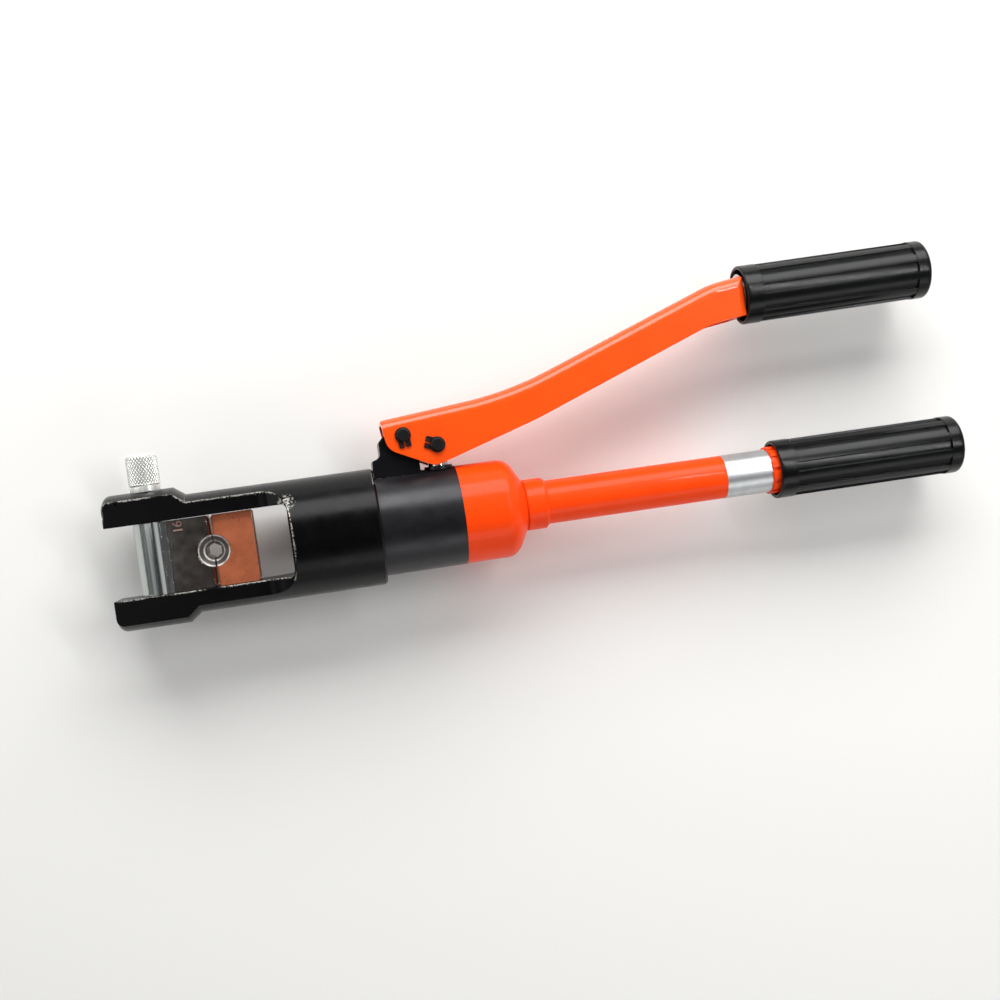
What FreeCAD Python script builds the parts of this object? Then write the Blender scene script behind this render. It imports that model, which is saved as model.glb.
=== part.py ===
"""Hydraulic crimping tool: forked head with two dies, hand pump, two gripped handles.

Everything is built in the tool's own axes and then moved to the resting frame. X runs along the tool
from the head (-X) to the grips (+X), with X = 0 at the crimp centre. Y points to the moving lever and
Z is square to the fork. The tool lies on its side, so Z is up. All sizes are in millimetres.
"""
import FreeCAD, Part
import math
import os

Vector = FreeCAD.Vector

# clearances
FIT = 0.05                    # a pin or a rod in the hole that guides it
SEAT = 0.1                    # a piece on or in the one that holds it
FREE = 0.3                    # pieces that pass each other
THREAD = 0.02                 # a plug or a ring that is screwed in or pressed on
PAST = 1.0                    # how far a cutting shape passes the face that it cuts

# springs
COIL_RUNS = 12                # straight runs in one turn
WIRE_SIDES = 8

# dies, from the crimp centre outwards
UPPER_DIE_DEPTH = 24.8        # crimp centre to the upper die's back
LOWER_DIE_DEPTH = 24.0
DIE_SIDE_GAP = 0.3            # between a die and each arm
DIE_HALF_THICKNESS = 14.0
DIE_GAP = 1.0                 # the dies stand this far apart
UPPER_DIE_CHAMFER = 1.8       # the bevel round each die's faces
LOWER_DIE_CHAMFER = 1.1
DIE_BACK_CHAMFER = 1.0        # on the corners that meet the window's rounded end
HEX_ACROSS_FLATS = 7.4
COUNTERSINK_RADIUS = 9.35
COUNTERSINK_STEP_RADIUS = 7.2
COUNTERSINK_LAND = 0.6
COUNTERSINK_DEPTH = 2.0
DIE_TONGUE_WIDTH = 10.0
DIE_TONGUE_DEPTH = 1.6

# anvil between the arm tips
ANVIL_RADIUS = 16.0
ANVIL_SHOULDER = 4.5          # from the anvil's face back to the middle of its round
ANVIL_FACE_X = -UPPER_DIE_DEPTH - 2 * SEAT
ANVIL_CENTRE_X = ANVIL_FACE_X - ANVIL_SHOULDER
ANVIL_BAND_STEP = 0.5         # the band at the face stands this far past the die
ANVIL_BAND_HALF = DIE_HALF_THICKNESS + ANVIL_BAND_STEP
ANVIL_BAND_LENGTH = 3.3
ANVIL_SIDE_GAP = 0.2

# forked head
YOKE_RADIUS = 35.0
BOSS_RADIUS = 40.0
FLAT_Z = 18.0                 # half the thickness across the milled flats
WINDOW_HALF = 21.2            # half the width between the arms
DIE_HALF_WIDTH = WINDOW_HALF - DIE_SIDE_GAP
LATCH_SETBACK = 5.7           # from the middle of the anvil's round to the latch pin
LATCH_X = ANVIL_CENTRE_X - LATCH_SETBACK
TIP_LENGTH = 24.3             # from the latch pin to the tips of the arms
TIP_X = LATCH_X - TIP_LENGTH
TIP_ROUND = 4.0
BOSS_LENGTH = 15.9            # from the latch pin to the end of the boss
BOSS_END_X = LATCH_X + BOSS_LENGTH
BOSS_SLOPE = 6.8              # length of the slope from the boss down to the arm
RAM_ROOM = 20.7               # from the lower die's back to the window's end
WINDOW_END_X = LOWER_DIE_DEPTH + RAM_ROOM
WINDOW_CORNER = 3.5
WEB_THICKNESS = 17.3
WEB_END_X = WINDOW_END_X + WEB_THICKNESS
SKIRT_LENGTH = 35.5           # from the web to the end of the head
SKIRT_STEP = 5.0              # the head stands this far past the cylinder
YOKE_END_X = WEB_END_X + SKIRT_LENGTH
SKIRT_EDGE = 1.2
FLAT_RUNOUT_LENGTH = 15.6     # how far before the window's end the flats start to run out
FLAT_RUNOUT_X = WINDOW_END_X - FLAT_RUNOUT_LENGTH
FLAT_RUNOUT_RADIUS = YOKE_RADIUS - FLAT_Z
MARK_SETBACK = 8.5            # a small drilled hole in the upper arm's flat, from the tip and from the boss
MARK_DROP = 6.0
MARK_X = TIP_X + MARK_SETBACK
MARK_Y = BOSS_RADIUS - MARK_DROP
MARK_RADIUS = 0.9
MARK_DEPTH = 4.0

# ring that wipes the ram, and the screw that locks the head
WIPER_SETBACK = 3.0
WIPER_LENGTH = 3.5
WIPER_DEPTH = 2.5
LOCK_SCREW_RADIUS = 3.0
LOCK_SCREW_SETBACK = 10.0
LOCK_SCREW_X = YOKE_END_X - LOCK_SCREW_SETBACK
LOCK_SCREW_SUNK = 0.5
LOCK_SOCKET = 2.6             # across the flats of its hexagon socket
LOCK_SOCKET_DEPTH = 2.0

# latch pin, its knob and its detent
LATCH_RADIUS = 7.0
LATCH_NOSE = 2.0
LATCH_SHORT = 2.0             # the pin ends this far inside the lower arm's boss
LATCH_END_Y = LATCH_SHORT - BOSS_RADIUS
KNOB_RADIUS = 9.15
KNOB_COLLAR_RADIUS = 8.9
KNOB_SUNK = 0.8
KNOB_SEAT_Y = BOSS_RADIUS - KNOB_SUNK
KNOB_COLLAR_LENGTH = 3.3
KNOB_HEIGHT = 22.0
KNOB_TOP_Y = BOSS_RADIUS + KNOB_HEIGHT
KNOB_ROUND = 3.0
KNOB_CHAMFER = 0.6
DETENT_DROP = 9.0             # from the boss down to the detent
DETENT_Y = BOSS_RADIUS - DETENT_DROP
DETENT_BALL_RADIUS = 2.2
DETENT_GROOVE_SHARE = 0.7     # how far the groove's middle stands off the pin, in radii of the ball
DETENT_WIRE = 0.6
DETENT_SCREW_SUNK = 1.0
DETENT_SCREW_X = TIP_X + DETENT_SCREW_SUNK
DETENT_SCREW_LENGTH = 5.0
DRIVER_SLOT = 0.8
DRIVER_SLOT_DEPTH = 1.2

# cylinder, ram and return spring
CYLINDER_RADIUS = YOKE_RADIUS - SKIRT_STEP
CYLINDER_WALL = 7.0
CYLINDER_BORE_RADIUS = CYLINDER_RADIUS - CYLINDER_WALL
SKIRT_THREAD_DEPTH = 1.5      # the head's skirt is screwed on where the cylinder is turned down this much
SKIRT_BORE_RADIUS = CYLINDER_RADIUS - SKIRT_THREAD_DEPTH
CYLINDER_SHOWN = 49.1         # from the head to the reservoir housing
CYLINDER_END_X = YOKE_END_X + CYLINDER_SHOWN
SPIGOT_LENGTH = 11.4
BLOCK_END_X = CYLINDER_END_X + SPIGOT_LENGTH
SPRING_ROOM = 5.0             # between the ram and the bore
RAM_RADIUS = CYLINDER_BORE_RADIUS - SPRING_ROOM
RAM_SUNK = 0.7
RAM_FACE_X = WINDOW_END_X + RAM_SUNK
RAM_CHAMFER = 1.0
RAM_HOLE_RADIUS = 3.0
RAM_HOLE_DEPTH = 12.0
PISTON_LENGTH = 20.0
PISTON_LAND = 8.0
SEAL_GROOVE_DEPTH = 2.6
SEAL_LENGTH = 3.6
BACKUP_LENGTH = 2.1
SPRING_PLAY = 0.8             # between the spring and the ram, and between the spring and the bore
SPRING_WIRE = SPRING_ROOM - 2 * SPRING_PLAY
SPRING_TURNS = 5.0

# lever bracket and its pivot
BRACKET_SUNK = 2.0            # depth of the flat that the bracket stands on
BRACKET_SEAT_Y = CYLINDER_RADIUS - BRACKET_SUNK
PIVOT_SETBACK = 20.5          # from the head to the pivot
PIVOT_HEIGHT = 23.8
PIVOT_X = YOKE_END_X + PIVOT_SETBACK
PIVOT_Y = BRACKET_SEAT_Y + PIVOT_HEIGHT
BRACKET_EYE_RADIUS = 7.0
FOOT_REACH = 8.0              # the bracket's foot ends this far past the pivot
FOOT_HEIGHT = 9.0
FOOT_ROUND = 3.0
FOOT_ROOM = 0.5               # the flat on the cylinder ends this far past the foot
BRACKET_FOOT_X = PIVOT_X + FOOT_REACH
HEEL_HEIGHT = 10.9            # the bracket's step above its seat, at the head's end
HEEL_RISE = 1.3
HEEL_LEAN = 0.5
HEEL_ROUND = 1.5
HEEL_FILLET = 3.5
SHOULDER_REACH = 14.8
SHOULDER_X = PIVOT_X - SHOULDER_REACH
SHOULDER_DROP = 2.5           # from the pivot down to the shoulder's corner
SHOULDER_CUT = 3.0
SHOULDER_ROUND = 3.0
SHOULDER_BREAK = 2.0

# lever pins and their snap rings
CRANK_REACH = 19.6            # from the pivot along to the plunger pin
CRANK_DROP = 8.2
PLUNGER_X = PIVOT_X + CRANK_REACH
CRANK_Y = PIVOT_Y - CRANK_DROP
PIN_RADIUS = 4.0
PIN_STICK_OUT = 3.2
PIN_CHAMFER = 0.6
CLIP_GROOVE_DEPTH = 0.6
CLIP_RIM = 0.75               # the ring stands this far past the pin
CLIP_RADIUS = PIN_RADIUS + CLIP_RIM
CLIP_THICKNESS = 1.0
CLIP_LUG_REACH = 3.5          # the lugs reach this far past the pin
CLIP_LUG_WIDTH = 3.0
CLIP_MOUTH = 1.3              # between the two lugs
CLIP_EYE_RADIUS = 0.6         # hole in each lug, for the pliers
PIVOT_CLIP_DEG = -84.0        # where the mouth of each pin's rings points
CRANK_CLIP_DEG = 160.0

# pump plunger and its gland
PLUNGER_RADIUS = 6.0
PLUNGER_END_Y = 6.0
SLOT_SWAY = 2.6               # room for the pin's arc along the slot
SLOT_PLAY = 0.6
PLUNGER_SLOT_HALF = PIN_RADIUS + SLOT_SWAY
PLUNGER_SLOT_RISE = PIN_RADIUS + SLOT_PLAY
PLUNGER_SLOT_CORNER = PLUNGER_SLOT_RISE - 2 * SEAT
PLUNGER_EYE_WALL = 2.6
PLUNGER_HEAD_ROUND = 3.0
PLUNGER_CROWN_ROUND = 6.0
CHAMBER_FLOOR_Y = -2.0
GLAND_WALL = 1.6
GLAND_COLLAR_STEP = 0.8
GLAND_DEPTH = 9.0
GLAND_RADIUS = PLUNGER_RADIUS + GLAND_WALL
GLAND_COLLAR_RADIUS = GLAND_RADIUS + GLAND_COLLAR_STEP
GLAND_FLOOR_Y = BRACKET_SEAT_Y - GLAND_DEPTH
GLAND_COLLAR_HEIGHT = 3.2
PLUNGER_SEAL_HEIGHT = 2.5

# valves in the pump block
FLOOR_WALL = 17.6             # from the cylinder's floor to the plunger's axis
CYLINDER_FLOOR_X = PLUNGER_X - FLOOR_WALL
BALL_RADIUS = 2.6
BALL_PLAY = 0.8
PORT_RADIUS = 1.5
VALVE_POCKET_RADIUS = BALL_RADIUS + BALL_PLAY
VALVE_WIRE = 0.6
VALVE_COIL_RADIUS = 1.9
OUTLET_DEPTH = 9.0
OUTLET_SEAT_X = CYLINDER_FLOOR_X + OUTLET_DEPTH
RETAINER_LENGTH = 1.5
INLET_Y = 9.0
INLET_WALL = 1.0              # between the plunger's bore and the inlet's pocket
INLET_DEPTH = 6.4
INLET_PORT_OVERLAP = 2.0      # how far the slanted port runs into the plunger's bore
INLET_FLOOR_X = PLUNGER_X + PLUNGER_RADIUS + INLET_WALL
INLET_SEAT_X = INLET_FLOOR_X + INLET_DEPTH
PLUG_SUNK = 0.5
RELIEF_Y = -14.0
RELIEF_BALL_RADIUS = 3.0
RELIEF_PLAY = 1.2
RELIEF_POCKET_RADIUS = RELIEF_BALL_RADIUS + RELIEF_PLAY
RELIEF_COIL_RADIUS = 2.6
RELIEF_WIRE = 1.2
RELIEF_DEPTH = 14.0
RELIEF_SEAT_X = CYLINDER_FLOOR_X + RELIEF_DEPTH
RELIEF_SCREW_LENGTH = 7.0
RELIEF_SOCKET = 4.0           # across the flats of its hexagon socket
RELIEF_SOCKET_DEPTH = 3.0
RELEASE_PORT_Y = -8.0
SPINDLE_RADIUS = 3.9
SPINDLE_CONE = 2.4
SPINDLE_DEPTH = 8.0           # from the block's end to the spindle's seat
SPINDLE_SEAT_X = BLOCK_END_X - SPINDLE_DEPTH
SPINDLE_SHANK_RADIUS = 5.0
SPINDLE_STEP = 2.0            # the shank starts this far past the block

# handle tube
TUBE_RADIUS = 13.3
TUBE_WALL = 2.2
NUT_STEP = 3.7                # the retaining nut stands this far past the tube
NUT_RADIUS = TUBE_RADIUS + NUT_STEP
NUT_LENGTH = 3.2
NUT_SLOTS = 4
NUT_SLOT_WIDTH = 3.0
NUT_SLOT_DEPTH = 1.5
NUT_ROOM = 1.0                # between the nut and the housing

# reservoir housing
HOUSING_STEP = 0.2            # the housing is turned down this much from the cylinder
HOUSING_RADIUS = CYLINDER_RADIUS - HOUSING_STEP
HOUSING_WALL = 3.3
SPIGOT_RADIUS = HOUSING_RADIUS - HOUSING_WALL - SEAT
HOUSING_BARREL = 25.2         # length of its straight part
HOUSING_SHOULDER_X = CYLINDER_END_X + HOUSING_BARREL
HOUSING_SHOULDER_RADIUS = 10.0
HOUSING_SLOPE = math.radians(60.0)
HOUSING_MOUTH_WALL = 1.8
HOUSING_ARC_X = HOUSING_SHOULDER_X + HOUSING_SHOULDER_RADIUS * math.sin(HOUSING_SLOPE)
HOUSING_ARC_R = HOUSING_RADIUS - HOUSING_SHOULDER_RADIUS * (1 - math.cos(HOUSING_SLOPE))
HOUSING_MOUTH_RADIUS = TUBE_RADIUS + SEAT + HOUSING_MOUTH_WALL
HOUSING_END_X = HOUSING_ARC_X + (HOUSING_ARC_R - HOUSING_MOUTH_RADIUS) / math.tan(HOUSING_SLOPE)
NECK_LENGTH = 10.0
NECK_FLOOR_X = HOUSING_END_X - NECK_LENGTH
TAPER_LENGTH = 6.0            # inside, behind the pump block
TAPER_STEP = 2.0

# grips
GRIP_RADIUS = 18.2
GRIP_LENGTH = 120.9
HANDLE_SHOWN = 159.0          # from the housing to the lower grip
GRIP_START_X = HOUSING_END_X + HANDLE_SHOWN
GRIP_FRONT_FLANGE = 11.0
GRIP_REAR_FLANGE = 9.0
GRIP_GROOVES = 10
GRIP_GROOVE_WIDTH = 6.0
GRIP_GROOVE_DEPTH = 1.7
GRIP_MOUTH_RADIUS = 15.9
GRIP_MOUTH_DEPTH = 12.0
GRIP_END_WALL = 5.0
GRIP_EDGE_ROUND = 2.5
GRIP_MOUTH_ROUND = 0.9

# turning handle
TUBE_SETBACK = 8.9            # the tube ends this far before the grip's end wall
TUBE_END_X = GRIP_START_X + GRIP_LENGTH - GRIP_END_WALL - TUBE_SETBACK
COLLAR_STEP = 2.3
COLLAR_RADIUS = TUBE_RADIUS + COLLAR_STEP
COLLAR_LENGTH = 13.2
COLLAR_ROUND = 1.5
COLLAR_CHAMFER = 0.5
HUB_X = HOUSING_END_X + FREE
HUB_LENGTH = 8.0
OIL_WAYS = 4                  # holes through the hub, between the housing and the tube
OIL_WAY_RADIUS = 1.6
O_RING_HALF = 1.0
O_RING_DEPTH = 1.2
PLUG_LENGTH = 8.0
BLADDER_WALL = 1.2
BLADDER_ROOM = 6.0            # between the bladder and the plug
BLADDER_END_X = TUBE_END_X - PLUG_LENGTH - BLADDER_ROOM
RING_SHOWN = 4.0
RING_STEP = 1.4
RING_START_X = GRIP_START_X - RING_SHOWN
RING_LENGTH = 10.0
RING_RADIUS = TUBE_RADIUS + RING_STEP
RING_TEETH = 12
RING_NOTCH_WIDTH = 2.6
RING_NOTCH_DEPTH = 0.9
BAND_LENGTH = 29.0
BAND_THICKNESS = 0.15

# lever: a pressed channel, open on the side that faces the cylinder.
# Its outline is given from the pivot: (x, y, corner radius).
LEVER_HALF = 14.0
LEVER_WALL = 3.0
LEVER_EDGE_ROUND = 7.0
LEVER_TOP = [(-12.4, 10.4, 2.0), (66.8, 17.8, 213.0), (200.3, 67.0, 60.0), (220.4, 69.8, 0.0)]
LEVER_BOTTOM = [(220.4, 45.2, 0.0), (197.0, 42.0, 60.0), (82.0, -0.9, 200.0), (17.2, -20.7, 8.5),
                (-10.0, -7.4, 10.0)]
LEVER_END_WALL = 5.0
LEVER_BEVEL_LENGTH = 3.6      # the steep bevel on both sides of the closed end, at the grip
LEVER_BEVEL = 2.5
LEVER_MOUTH_OVERRUN = 5.0     # the hollow runs out through the front and the open side by this much
LEVER_TUBE_GAP = 0.3          # from the channel's end to its tube
LEVER_TUBE_SHORT = 1.0        # the tube ends this far before the grip's end wall
UPPER_GRIP_SHIFT = 0.5        # the upper grip's mouth stands this far past the channel's end
UPPER_GRIP_DROP = 11.0        # the upper grip's axis lies this far under the channel's top
UPPER_GRIP_TILT_DEG = 1.1
UPPER_GRIP_X = PIVOT_X + LEVER_TOP[-1][0] + UPPER_GRIP_SHIFT
UPPER_GRIP_Y = PIVOT_Y + LEVER_TOP[-1][1] - UPPER_GRIP_DROP
BRACKET_SIDE_ROOM = 2.0       # between the bracket and each plate of the lever
HEAD_SIDE_ROOM = 1.0          # the plunger's head is narrower than the bracket by this on each side
BRACKET_HALF = LEVER_HALF - LEVER_WALL - BRACKET_SIDE_ROOM
PLUNGER_HEAD_HALF = BRACKET_HALF - HEAD_SIDE_ROOM


def bar_x(radius, x0, x1, y=0.0, z=0.0):
    return Part.makeCylinder(radius, x1 - x0, Vector(x0, y, z), Vector(1, 0, 0))


def bar_y(radius, y0, y1, x=0.0, z=0.0):
    return Part.makeCylinder(radius, y1 - y0, Vector(x, y0, z), Vector(0, 1, 0))


def bar_z(radius, z0, z1, x=0.0, y=0.0):
    return Part.makeCylinder(radius, z1 - z0, Vector(x, y, z0), Vector(0, 0, 1))


def block(x0, x1, y0, y1, z0, z1):
    return Part.makeBox(x1 - x0, y1 - y0, z1 - z0, Vector(x0, y0, z0))


def turned(profile):
    """A solid turned about the tool's axis from a closed outline of (x, radius) points."""
    wire = Part.makePolygon([Vector(x, r, 0) for x, r in profile + profile[:1]])
    return Part.Face(wire).revolve(Vector(0, 0, 0), Vector(1, 0, 0), 360)


def rounded_wire(corners):
    """A closed outline in the XY plane: straight runs whose corners (x, y, radius) are rounded."""
    points = [Vector(x, y, 0) for x, y, _ in corners]
    edges = []
    ends = []
    for i, (_, _, radius) in enumerate(corners):
        here, before, after = points[i], points[i - 1], points[(i + 1) % len(points)]
        back, on = (before - here).normalize(), (after - here).normalize()
        if radius == 0:
            ends.append((here, here, None))
            continue
        half = back.getAngle(on) / 2
        reach = radius / math.tan(half)
        middle = here + (back + on).normalize() * (radius / math.sin(half) - radius)
        ends.append((here + back * reach, here + on * reach, middle))
    for i, (start, end, middle) in enumerate(ends):
        if middle is not None:
            edges.append(Part.Arc(start, middle, end).toShape())
        edges.append(Part.LineSegment(end, ends[(i + 1) % len(ends)][0]).toShape())
    return Part.Wire(edges)


def plate(corners, half):
    """A plate with a rounded outline, from z = -half to z = half."""
    face = Part.Face(rounded_wire(corners))
    face.translate(Vector(0, 0, -half))
    return face.extrude(Vector(0, 0, 2 * half))


def coil(radius, wire, length, turns):
    """A compression spring along X from x = 0: a helix in short straight runs, its round wire eight-sided."""
    rise = length - wire
    runs = round(turns * COIL_RUNS)
    stations = []
    for k in range(runs + 1):
        angle = 2 * math.pi * turns * k / runs
        along = wire / 2 + rise * k / runs
        stations.append(Vector(along, radius * math.cos(angle), radius * math.sin(angle)))
    corners = []
    for k in range(WIRE_SIDES + 1):
        angle = 2 * math.pi * (k + 0.5) / WIRE_SIDES
        corners.append(stations[0] + Vector(math.cos(angle), math.sin(angle), 0) * (wire / 2))
    section = Part.makePolygon(corners)
    pitch = math.degrees(math.atan2(rise, 2 * math.pi * radius * turns))
    section.rotate(stations[0], Vector(0, 1, 0), pitch)
    mitred = 1
    return Part.makePolygon(stations).makePipeShell([section], True, False, mitred)


def coil_x(radius, wire, x0, x1, turns, y=0.0):
    spring = coil(radius, wire, x1 - x0, turns)
    spring.translate(Vector(x0, y, 0))
    return spring


def latch_boss_holes():
    """The latch pin's bore through both arms, its knob's seat and the detent's drilling."""
    bore = bar_y(LATCH_RADIUS + FIT, LATCH_END_Y - FREE, BOSS_RADIUS + PAST, LATCH_X)
    seat = bar_y(KNOB_COLLAR_RADIUS + FREE, KNOB_SEAT_Y, BOSS_RADIUS + PAST, LATCH_X)
    detent = bar_x(DETENT_BALL_RADIUS + SEAT, TIP_X - PAST, LATCH_X, DETENT_Y)
    mark = bar_z(MARK_RADIUS, FLAT_Z - MARK_DEPTH, FLAT_Z + PAST, MARK_X, MARK_Y)
    return [bore, seat, detent, mark]


def yoke_head():
    """The forged head: two arms with a boss at their tips, milled flat on both sides, and a skirt."""
    boss_slope_end = BOSS_END_X + BOSS_SLOPE
    body = turned([
        (TIP_X, 0), (TIP_X, BOSS_RADIUS), (BOSS_END_X, BOSS_RADIUS), (boss_slope_end, YOKE_RADIUS),
        (YOKE_END_X - SKIRT_EDGE, YOKE_RADIUS), (YOKE_END_X, YOKE_RADIUS - SKIRT_EDGE),
        (YOKE_END_X, SKIRT_BORE_RADIUS), (WEB_END_X, SKIRT_BORE_RADIUS), (WEB_END_X, 0),
    ])
    rim = [e for e in body.Edges if e.BoundBox.XMax < TIP_X + 0.01 and e.BoundBox.YMax > BOSS_RADIUS / 2]
    body = body.makeFillet(TIP_ROUND, rim)
    cuts = [flat_cutter(side) for side in (1, -1)] + [window_cutter()] + latch_boss_holes()
    cuts.append(bar_x(RAM_RADIUS + SEAT, WINDOW_END_X - PAST, WEB_END_X + PAST))
    cuts.append(wiper_ring(RAM_RADIUS, SEAT))
    cuts.append(lock_screw(SEAT))
    return body.cut(cuts)


def flat_cutter(side):
    """The milling that leaves the fork flat on one side and runs out upwards in an arc."""
    reach = YOKE_RADIUS + BOSS_RADIUS
    low = Vector(TIP_X - PAST, -reach, FLAT_Z)
    start = Vector(FLAT_RUNOUT_X, -reach, FLAT_Z)
    bend = Vector(FLAT_RUNOUT_X + FLAT_RUNOUT_RADIUS * math.sin(math.pi / 4), -reach,
                  FLAT_Z + FLAT_RUNOUT_RADIUS * (1 - math.cos(math.pi / 4)))
    end = Vector(FLAT_RUNOUT_X + FLAT_RUNOUT_RADIUS, -reach, FLAT_Z + FLAT_RUNOUT_RADIUS)
    up = Vector(end.x, -reach, FLAT_Z + reach)
    back = Vector(low.x, -reach, up.z)
    edges = [Part.LineSegment(low, start).toShape(), Part.Arc(start, bend, end).toShape(),
             Part.LineSegment(end, up).toShape(), Part.LineSegment(up, back).toShape(),
             Part.LineSegment(back, low).toShape()]
    cutter = Part.Face(Part.Wire(edges)).extrude(Vector(0, 2 * reach, 0))
    if side < 0:
        cutter = cutter.mirror(Vector(0, 0, 0), Vector(0, 0, 1))
    return cutter


def window_cutter():
    """The slot between the arms, open at the tip, with rounded inner corners."""
    return plate([(TIP_X - PAST, -WINDOW_HALF, 0), (WINDOW_END_X, -WINDOW_HALF, WINDOW_CORNER),
                  (WINDOW_END_X, WINDOW_HALF, WINDOW_CORNER), (TIP_X - PAST, WINDOW_HALF, 0)],
                 YOKE_RADIUS + BOSS_RADIUS)


def wiper_ring(inner, grow=0.0):
    """The ring that wipes the ram, in a groove of the web close to the window."""
    start = WINDOW_END_X + WIPER_SETBACK
    end = start + WIPER_LENGTH
    outside = bar_x(RAM_RADIUS + WIPER_DEPTH + grow, start - grow, end + grow)
    return outside.cut(bar_x(inner, start - PAST, end + PAST))


def lock_screw(grow=0.0):
    """The set screw that stops the head from turning on the cylinder's thread."""
    low = -YOKE_RADIUS + LOCK_SCREW_SUNK
    if grow:
        return bar_z(LOCK_SCREW_RADIUS + grow, low - PAST, grow - SKIRT_BORE_RADIUS, LOCK_SCREW_X)
    socket = hexagon_bar(LOCK_SOCKET, LOCK_SOCKET_DEPTH + PAST)
    socket.translate(Vector(LOCK_SCREW_X, 0, low - PAST))
    return bar_z(LOCK_SCREW_RADIUS, low, -SKIRT_BORE_RADIUS, LOCK_SCREW_X).cut(socket)


def hexagon_bar(across, length):
    """A hexagonal bar along Z from the origin."""
    radius = across / math.sqrt(3)
    points = []
    for k in range(7):
        angle = k * math.pi / 3
        points.append(Vector(radius * math.cos(angle), radius * math.sin(angle), 0))
    return Part.Face(Part.makePolygon(points)).extrude(Vector(0, 0, length))


def latch_pin():
    """The plain pin that carries the anvil, with a bullet end and a groove for the detent ball."""
    shank = bar_y(LATCH_RADIUS, LATCH_END_Y + LATCH_NOSE, KNOB_SEAT_Y + KNOB_COLLAR_LENGTH, LATCH_X)
    nose = Part.makeCone(LATCH_RADIUS - LATCH_NOSE, LATCH_RADIUS, LATCH_NOSE, Vector(LATCH_X, LATCH_END_Y, 0),
                         Vector(0, 1, 0))
    groove = Part.makeTorus(LATCH_RADIUS + DETENT_BALL_RADIUS * DETENT_GROOVE_SHARE, DETENT_BALL_RADIUS,
                            Vector(LATCH_X, DETENT_Y, 0), Vector(0, 1, 0))
    return shank.fuse(nose).removeSplitter().cut(groove)


def latch_knob():
    base = KNOB_SEAT_Y + SEAT
    grip_start = base + KNOB_COLLAR_LENGTH
    collar = bar_y(KNOB_COLLAR_RADIUS, base, grip_start, LATCH_X)
    head = bar_y(KNOB_RADIUS, grip_start, KNOB_TOP_Y, LATCH_X)
    top = [e for e in head.Edges if abs(e.CenterOfMass.y - KNOB_TOP_Y) < 0.01]
    head = head.makeFillet(KNOB_ROUND, top)
    bottom = [e for e in head.Edges if abs(e.CenterOfMass.y - grip_start) < 0.01]
    head = head.makeChamfer(KNOB_CHAMFER, bottom)
    socket = bar_y(LATCH_RADIUS, base - PAST, KNOB_SEAT_Y + KNOB_COLLAR_LENGTH, LATCH_X)
    return collar.fuse(head).cut(socket)


def detent_ball_x():
    """The ball is drawn pushed back clear of the pin, so that the pin can slide past it."""
    return LATCH_X - LATCH_RADIUS - FIT - DETENT_BALL_RADIUS


def detent_ball():
    return Part.makeSphere(DETENT_BALL_RADIUS, Vector(detent_ball_x(), DETENT_Y, 0))


def detent_spring():
    start = DETENT_SCREW_X + DETENT_SCREW_LENGTH
    end = detent_ball_x() - DETENT_BALL_RADIUS
    return coil_x(DETENT_BALL_RADIUS - DETENT_WIRE - SEAT, DETENT_WIRE, start, end, 4.0, DETENT_Y)


def detent_screw():
    screw = bar_x(DETENT_BALL_RADIUS, DETENT_SCREW_X, DETENT_SCREW_X + DETENT_SCREW_LENGTH, DETENT_Y)
    reach = DETENT_BALL_RADIUS + PAST
    end = DETENT_SCREW_X + DRIVER_SLOT_DEPTH
    slot = block(DETENT_SCREW_X - PAST, end, DETENT_Y - reach, DETENT_Y + reach,
                 -DRIVER_SLOT / 2, DRIVER_SLOT / 2)
    return screw.cut(slot)


def anvil():
    """The half-round block between the arm tips that carries the upper die."""
    half = WINDOW_HALF - ANVIL_SIDE_GAP
    round_part = bar_y(ANVIL_RADIUS, -half, half, ANVIL_CENTRE_X)
    front = block(ANVIL_CENTRE_X + PAST, ANVIL_CENTRE_X + ANVIL_RADIUS + PAST, -half - PAST, half + PAST,
                  -ANVIL_RADIUS - PAST, ANVIL_RADIUS + PAST)
    round_part = round_part.cut(front)
    band_start = ANVIL_FACE_X - ANVIL_BAND_LENGTH
    band = block(ANVIL_CENTRE_X, ANVIL_FACE_X, -half, half, -ANVIL_BAND_HALF, ANVIL_BAND_HALF)
    body = block(ANVIL_CENTRE_X, band_start, -half, half, -ANVIL_RADIUS, ANVIL_RADIUS)
    bore = bar_y(LATCH_RADIUS + FIT, -half - PAST, half + PAST, LATCH_X)
    groove = block(ANVIL_FACE_X - DIE_TONGUE_DEPTH - SEAT, ANVIL_FACE_X + PAST, -half - PAST, half + PAST,
                   -DIE_TONGUE_WIDTH / 2 - SEAT, DIE_TONGUE_WIDTH / 2 + SEAT)
    return round_part.fuse([body, band]).removeSplitter().cut([bore, groove])


def crimp_cutter(side):
    """Half of the hexagonal crimp opening with its countersinks, for the die on one side."""
    face_x = side * DIE_GAP / 2
    hexagon = hexagon_bar(HEX_ACROSS_FLATS, 2 * DIE_HALF_THICKNESS + 2)
    hexagon.rotate(Vector(0, 0, 0), Vector(0, 0, 1), 30)
    hexagon.translate(Vector(face_x, 0, -DIE_HALF_THICKNESS - PAST))
    cutters = [hexagon]
    floor = DIE_HALF_THICKNESS - COUNTERSINK_DEPTH
    inner = COUNTERSINK_STEP_RADIUS - COUNTERSINK_LAND
    for end in (1, -1):
        outer_cone = Part.makeCone(COUNTERSINK_STEP_RADIUS, COUNTERSINK_RADIUS, COUNTERSINK_DEPTH,
                                   Vector(face_x, 0, end * floor), Vector(0, 0, end))
        inner_cone = Part.makeCone(inner - COUNTERSINK_DEPTH, inner, COUNTERSINK_DEPTH,
                                   Vector(face_x, 0, end * (floor - COUNTERSINK_DEPTH)), Vector(0, 0, end))
        cutters += [outer_cone, inner_cone]
    return cutters


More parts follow.
